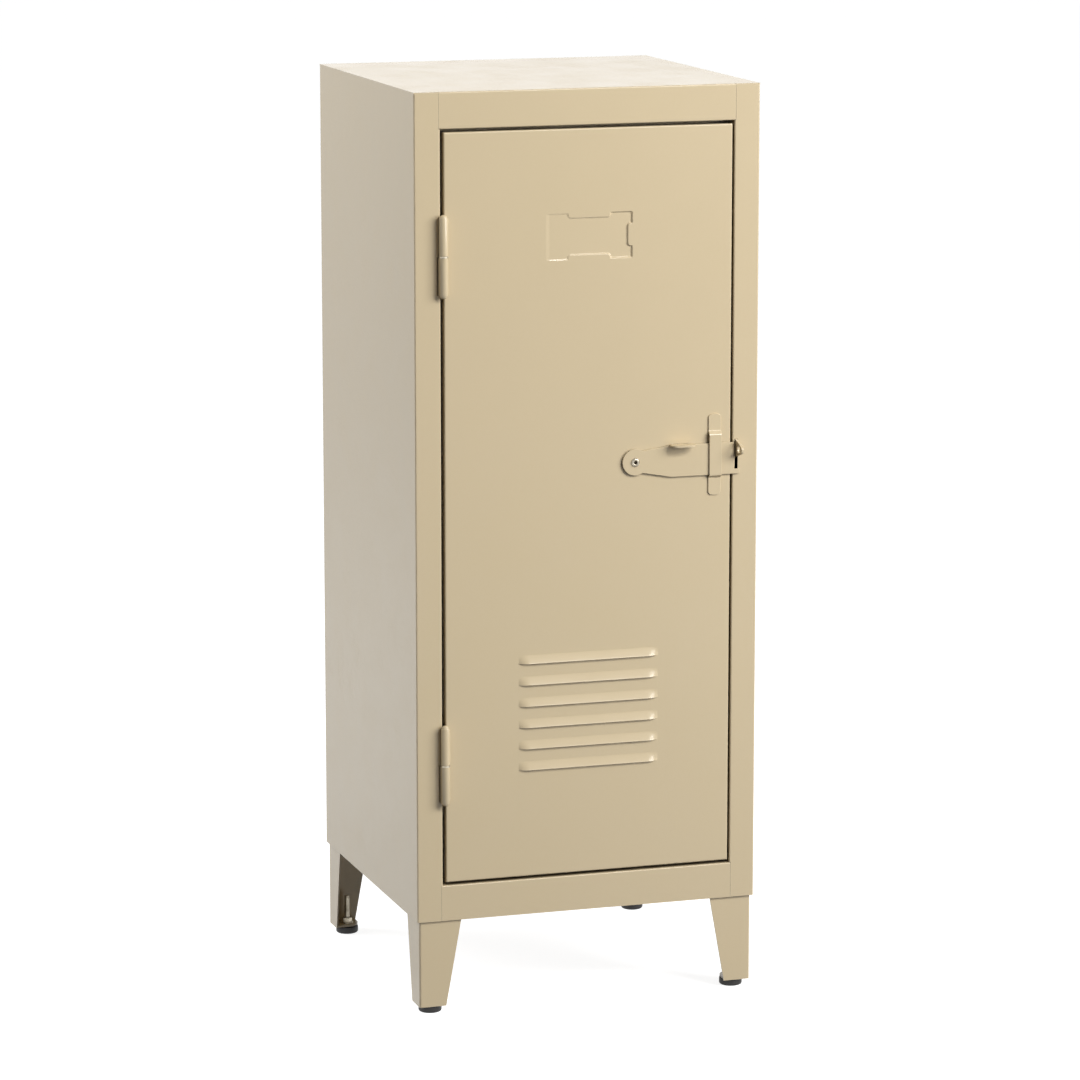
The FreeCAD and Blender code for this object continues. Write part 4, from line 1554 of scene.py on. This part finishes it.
@dataclass
class ScrewFeet:
    """Levelling feet: flange nuts on the leg plates, threaded studs and rounded rubber pads."""

    pitch: float = 1.0 * MM
    ridge: float = 0.36 * MM
    core: float = 2.56 * MM
    thread_end: float = 0.8 * MM
    nut_flats: float = 10.0 * MM
    nut_bore: float = 3.1 * MM
    nut_mouth: float = 0.6 * MM
    nut_crown: float = 0.25 * MM
    nut_chamfer: float = 0.55
    flange: float = 6.9 * MM
    flange_edge: float = 0.3 * MM
    flange_draft: float = 0.1 * MM
    flange_rim: float = 0.9 * MM
    flange_rise: float = 0.5 * MM
    sole_share: tuple[float, float] = (0.6, 0.66)
    sole_rise: float = 0.35 * MM
    pad_rims: tuple[float, float] = (2.4 * MM, 2.0 * MM)
    rim_steps: int = 6
    pad_sides: int = 64
    collar: tuple[float, float] = (5.4 * MM, 4.9 * MM)
    collar_rise: float = 0.5 * MM
    collar_edge: float = 0.4 * MM
    socket: float = 3.1 * MM
    socket_edge: float = 0.3 * MM
    socket_foot: float = 3.0 * MM

    def build(self, lattice: LatticeTree, thread: ThreadTree, finishes: Finishes) -> None:
        """Make the nuts, the studs and the pads.

        Args:
            lattice: Tree that repeats a pattern.
            thread: Tree that cuts a thread.
            finishes: The locker's materials.
        """
        for corner in Corner:
            self.pad(corner, finishes)
            self.stud(corner, thread, finishes)
        self.nuts(lattice, finishes)

    def pad(self, corner: Corner, finishes: Finishes) -> None:
        """Round pad with soft rims and a collar about the stud.

        Args:
            corner: The foot's corner.
            finishes: The locker's materials.
        """
        node = "foot_pad_" + corner.value
        low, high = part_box(node)
        radius = (high.x - low.x) / 2
        height = high.z - low.z
        hollow, sole = (share * radius for share in self.sole_share)
        profile = [(0.0, self.sole_rise), (hollow, self.sole_rise), (sole, 0.0)]
        turns = [math.pi / 2 * step / self.rim_steps for step in range(self.rim_steps + 1)]
        lower, upper = self.pad_rims
        crown = height - self.collar_rise - upper
        for turn in turns:
            profile.append((radius - lower + lower * math.sin(turn), lower - lower * math.cos(turn)))
        for turn in turns:
            profile.append((radius - upper + upper * math.cos(turn), crown + upper * math.sin(turn)))
        profile += [(self.collar[0], height - self.collar_edge), (self.collar[1], height)]
        profile += [(self.socket + self.socket_edge, height), (self.socket, height - self.socket_edge)]
        profile += [(self.socket, self.socket_foot), (0.0, self.socket_foot)]
        draft = MeshDraft()
        draft.lathe(profile, Matrix.Translation(corner.foot()), self.pad_sides)
        made = draft.piece("pad_" + corner.value, finishes.foot)
        hand_over(made, node, Slot.FOOT_RUBBER, node)

    def stud(self, corner: Corner, thread: ThreadTree, finishes: Finishes) -> None:
        """Threaded stud from the pad's socket up through the nut.

        Args:
            corner: The foot's corner.
            thread: Tree that cuts a thread.
            finishes: The locker's materials.
        """
        node = "foot_stud_" + corner.value
        low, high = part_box(node)
        length = high.z - low.z
        run = length - 2 * self.thread_end
        radius = (high.x - low.x) / 2
        values = {
            "Foot": corner.foot() + Vector((0, 0, low.z + self.thread_end)),
            "Turns": run / self.pitch,
            "Length": run,
            "Ridge radius": radius - self.ridge,
            "Ridge size": self.ridge,
            "Core radius": self.core,
            "Core length": length,
            "Finish": finishes.plating,
        }
        made = thread.bake("stud_" + corner.value, values)
        hand_over(made, node, Slot.PLATED_STEEL, node)

    def nut_draft(self, height: float) -> MeshDraft:
        """Flange nut standing on the origin.

        Args:
            height: Full height.

        Returns:
            The draft.
        """
        bore = self.nut_bore
        flats = self.nut_flats
        rim = self.flange_rim
        rings = [
            round_ring(bore, 0.0),
            round_ring(self.flange - self.flange_edge, 0.0),
            round_ring(self.flange, self.flange_edge),
            round_ring(self.flange - self.flange_draft, rim),
            hex_ring(flats, rim + self.flange_rise),
            hex_ring(flats, height, drop=self.nut_chamfer),
            round_ring(flats / 2 - self.nut_crown, height),
            round_ring(bore + self.nut_mouth, height),
            round_ring(bore, height - self.nut_mouth),
            round_ring(bore, 0.0),
        ]
        draft = MeshDraft()
        draft.loft(rings)
        draft.merge()
        return draft

    def nuts(self, lattice: LatticeTree, finishes: Finishes) -> None:
        """Flange nuts on the four foot plates.

        Args:
            lattice: Tree that repeats a pattern.
            finishes: The locker's materials.
        """
        low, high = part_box("foot_nuts")
        start = Corner.FRONT_LEFT.foot()
        across = Corner.FRONT_RIGHT.foot() - start
        along = Corner.REAR_LEFT.foot() - start
        start.z = low.z
        draft = self.nut_draft(high.z - low.z)
        made = lattice.copies("flange_nuts", draft, finishes.plating, start, (2, across), (2, along))
        hand_over(made, Body.CABINET.value, Slot.PLATED_STEEL, "foot_nuts")


@dataclass
class LegBolts:
    """Hexagon bolts that hold the legs under the cabinet's floor."""

    inset: float = 30.0 * MM
    leg_sheet: float = 1.5 * MM
    flats: float = 10.0 * MM
    crown: float = 0.3 * MM
    chamfer: float = 0.55
    head: float = 4.0 * MM
    washer: float = 6.0 * MM
    washer_height: float = 1.0 * MM
    washer_edge: float = 0.2 * MM
    nut: float = 5.0 * MM
    shank: float = 2.9 * MM
    tail: float = 1.6 * MM
    tail_edge: float = 0.4 * MM

    def draft(self, floor: float, plate: float) -> MeshDraft:
        """Bolt head with its washer above the floor, nut and tail below the leg's plate.

        Args:
            floor: Height of the floor's upper face.
            plate: Height of the leg plate's lower face.

        Returns:
            The draft.
        """
        seat = floor + self.washer_height
        top = seat + self.head
        low = plate - self.nut
        end = low - self.tail
        crown = self.flats / 2 - self.crown
        head = [
            [Vector((0, 0, floor))],
            round_ring(self.washer, floor),
            round_ring(self.washer, seat - self.washer_edge),
            round_ring(self.washer - self.washer_edge, seat),
            hex_ring(self.flats, seat),
            hex_ring(self.flats, top, drop=self.chamfer),
            round_ring(crown, top),
            [Vector((0, 0, top))],
        ]
        nut = [
            [Vector((0, 0, plate))],
            hex_ring(self.flats, plate),
            hex_ring(self.flats, low, drop=-self.chamfer),
            round_ring(crown, low),
            round_ring(self.shank, low),
            round_ring(self.shank, end + self.tail_edge),
            round_ring(self.shank - self.tail_edge, end),
            [Vector((0, 0, end))],
        ]
        draft = MeshDraft()
        draft.loft(head)
        draft.loft(nut)
        return draft

    def build(self, lattice: LatticeTree, finishes: Finishes) -> None:
        """Make the four bolts with their nuts.

        Args:
            lattice: Tree that repeats a pattern.
            finishes: The locker's materials.
        """
        near, leg_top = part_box("leg_front_left")
        _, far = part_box("leg_rear_right")
        _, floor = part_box("bottom_panel")
        start = Vector((near.x + self.inset, near.y + self.inset, 0.0))
        across = Vector((far.x - self.inset - start.x, 0.0, 0.0))
        along = Vector((0.0, far.y - self.inset - start.y, 0.0))
        draft = self.draft(floor.z, leg_top.z - self.leg_sheet)
        made = lattice.copies("leg_bolts", draft, finishes.plating, start, (2, across), (2, along))
        hand_over(made, Body.CABINET.value, Slot.PLATED_STEEL)


@dataclass(frozen=True)
class SoftLamp:
    """Soft rectangular lamp: its power in watts, its size, where it stands and what it faces."""

    name: str
    power: float
    size: tuple[float, float]
    place: tuple[float, float, float]
    aim: tuple[float, float, float]

    def build(self) -> None:
        """Make the lamp, out of the camera's sight."""
        light = bpy.data.lights.new(self.name, "AREA")
        light.shape = "RECTANGLE"
        light.size, light.size_y = self.size
        light.energy = self.power
        lamp = bpy.data.objects.new(self.name, light)
        lamp.location = self.place
        lamp.visible_camera = False
        beam = Vector(self.aim) - Vector(self.place)
        lamp.rotation_euler = beam.to_track_quat("-Z", "Y").to_euler()
        bpy.context.scene.collection.objects.link(lamp)


def grey(level: float) -> Colour:
    """Neutral colour of a linear level."""
    return (level, level, level, 1.0)


@dataclass
class Studio:
    """Plain pale floor, soft lamps, white surroundings and the photograph's camera."""

    lamps: tuple[SoftLamp, ...] = (
        SoftLamp(
            "key_lamp",
            power=103.0,
            size=(1.8, 1.9),
            place=(2.4, -2.35, 1.75),
            aim=(0.0, -0.17, 0.7),
        ),
        SoftLamp(
            "glint_lamp",
            power=40.0,
            size=(0.9, 0.6),
            place=(1.07, -2.4, 2.38),
            aim=(0.14, -0.18, 0.59),
        ),
        SoftLamp(
            "side_lamp",
            power=39.0,
            size=(2.2, 2.2),
            place=(-1.9, 0.75, 1.95),
            aim=(-0.19, 0.1, 0.9),
        ),
        SoftLamp(
            "back_lamp",
            power=5.5,
            size=(3.2, 1.8),
            place=(1.4, 4.2, 2.0),
            aim=(0.0, 0.0, 1.0),
        ),
    )
    ambient: float = 0.21
    floor_size: float = 80.0
    floor_tone: float = 0.05
    floor_rough: float = 0.9
    floor_glow: float = 0.875
    floor_seen: float = 0.6
    lens: float = 155.97
    sensor: float = 36.0
    sight: float = 200.0
    eye: tuple[float, float, float] = (-1.5377, -4.7958, 1.4219)
    azimuth: float = 17.807
    elevation: float = 10.647

    def build(self) -> None:
        """Make the stage, the lamps and the camera."""
        self.surroundings()
        self.floor()
        for lamp in self.lamps:
            lamp.build()
        self.camera()

    def seen_share(self, tree: bpy.types.NodeTree) -> Socket:
        """Socket that is 1 for rays of sight, mirror and glass, and 0 for the rest.

        Args:
            tree: The node tree to add it to.

        Returns:
            The socket.
        """
        path = tree.nodes.new("ShaderNodeLightPath")
        share = path.outputs["Is Camera Ray"]
        for label in ("Is Glossy Ray", "Is Transmission Ray"):
            larger = tree.nodes.new("ShaderNodeMath")
            larger.operation = "MAXIMUM"
            tree.links.new(share, larger.inputs[0])
            tree.links.new(path.outputs[label], larger.inputs[1])
            share = larger.outputs[0]
        return share

    def surroundings(self) -> None:
        """White world to look at, with a softer level to light by."""
        world = bpy.data.worlds.new("studio_surroundings")
        world.use_nodes = True
        bpy.context.scene.world = world
        tree = world.node_tree
        level = tree.nodes.new("ShaderNodeMapRange")
        level.inputs["To Min"].default_value = self.ambient
        level.inputs["To Max"].default_value = 1.0
        tree.links.new(self.seen_share(tree), level.inputs["Value"])
        background = tree.nodes["Background"]
        background.inputs["Color"].default_value = grey(1.0)
        tree.links.new(level.outputs["Result"], background.inputs["Strength"])

    def floor(self) -> None:
        """Wide pale floor that keeps a light shadow."""
        half = self.floor_size / 2
        corners = [(-half, -half, 0.0), (half, -half, 0.0), (half, half, 0.0), (-half, half, 0.0)]
        mesh = bpy.data.meshes.new("studio_floor")
        mesh.from_pydata(corners, [], [(0, 1, 2, 3)])
        material = bpy.data.materials.new("pale_floor")
        material.use_nodes = True
        tree = material.node_tree
        shaded = tree.nodes["Principled BSDF"]
        shaded.inputs["Base Color"].default_value = grey(self.floor_tone)
        shaded.inputs["Roughness"].default_value = self.floor_rough
        shaded.inputs["Specular IOR Level"].default_value = 0.0
        seen = tree.nodes.new("ShaderNodeBsdfDiffuse")
        seen.inputs["Color"].default_value = grey(self.floor_seen)
        glow = tree.nodes.new("ShaderNodeEmission")
        glow.inputs["Strength"].default_value = self.floor_glow
        white = tree.nodes.new("ShaderNodeAddShader")
        tree.links.new(seen.outputs[0], white.inputs[0])
        tree.links.new(glow.outputs[0], white.inputs[1])
        both = tree.nodes.new("ShaderNodeMixShader")
        tree.links.new(self.seen_share(tree), both.inputs["Fac"])
        tree.links.new(shaded.outputs[0], both.inputs[1])
        tree.links.new(white.outputs[0], both.inputs[2])
        tree.links.new(both.outputs[0], tree.nodes["Material Output"].inputs["Surface"])
        mesh.materials.append(material)
        made = bpy.data.objects.new("studio_floor", mesh)
        bpy.context.scene.collection.objects.link(made)

    def camera(self) -> None:
        """Camera at the photograph's viewing angle."""
        data = bpy.data.cameras.new("photo_camera")
        data.lens = self.lens
        data.sensor_width = self.sensor
        data.clip_end = self.sight
        camera = bpy.data.objects.new("photo_camera", data)
        camera.location = self.eye
        camera.rotation_euler = (math.radians(90 - self.elevation), 0.0, math.radians(-self.azimuth))
        bpy.context.scene.collection.objects.link(camera)
        bpy.context.scene.camera = camera


def main() -> None:
    """Build and dress the locker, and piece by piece."""
    logging.basicConfig(level=logging.INFO, format="%(name)s: %(message)s")
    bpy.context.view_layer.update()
    bpy.context.scene.view_settings.view_transform = "Standard"
    finishes = Finishes.make()
    lattice = LatticeTree()
    CabinetBody().dress(finishes)
    PressedDoor().build(finishes)
    LiftOffHinges().build(lattice, finishes)
    LatchArm().build(finishes)
    GuideStrap().build(finishes)
    PivotRivet().build(finishes)
    ScrewFeet().build(lattice, ThreadTree(), finishes)
    LegBolts().build(lattice, finishes)
    Studio().build()


if __name__ == "__main__":
    main()
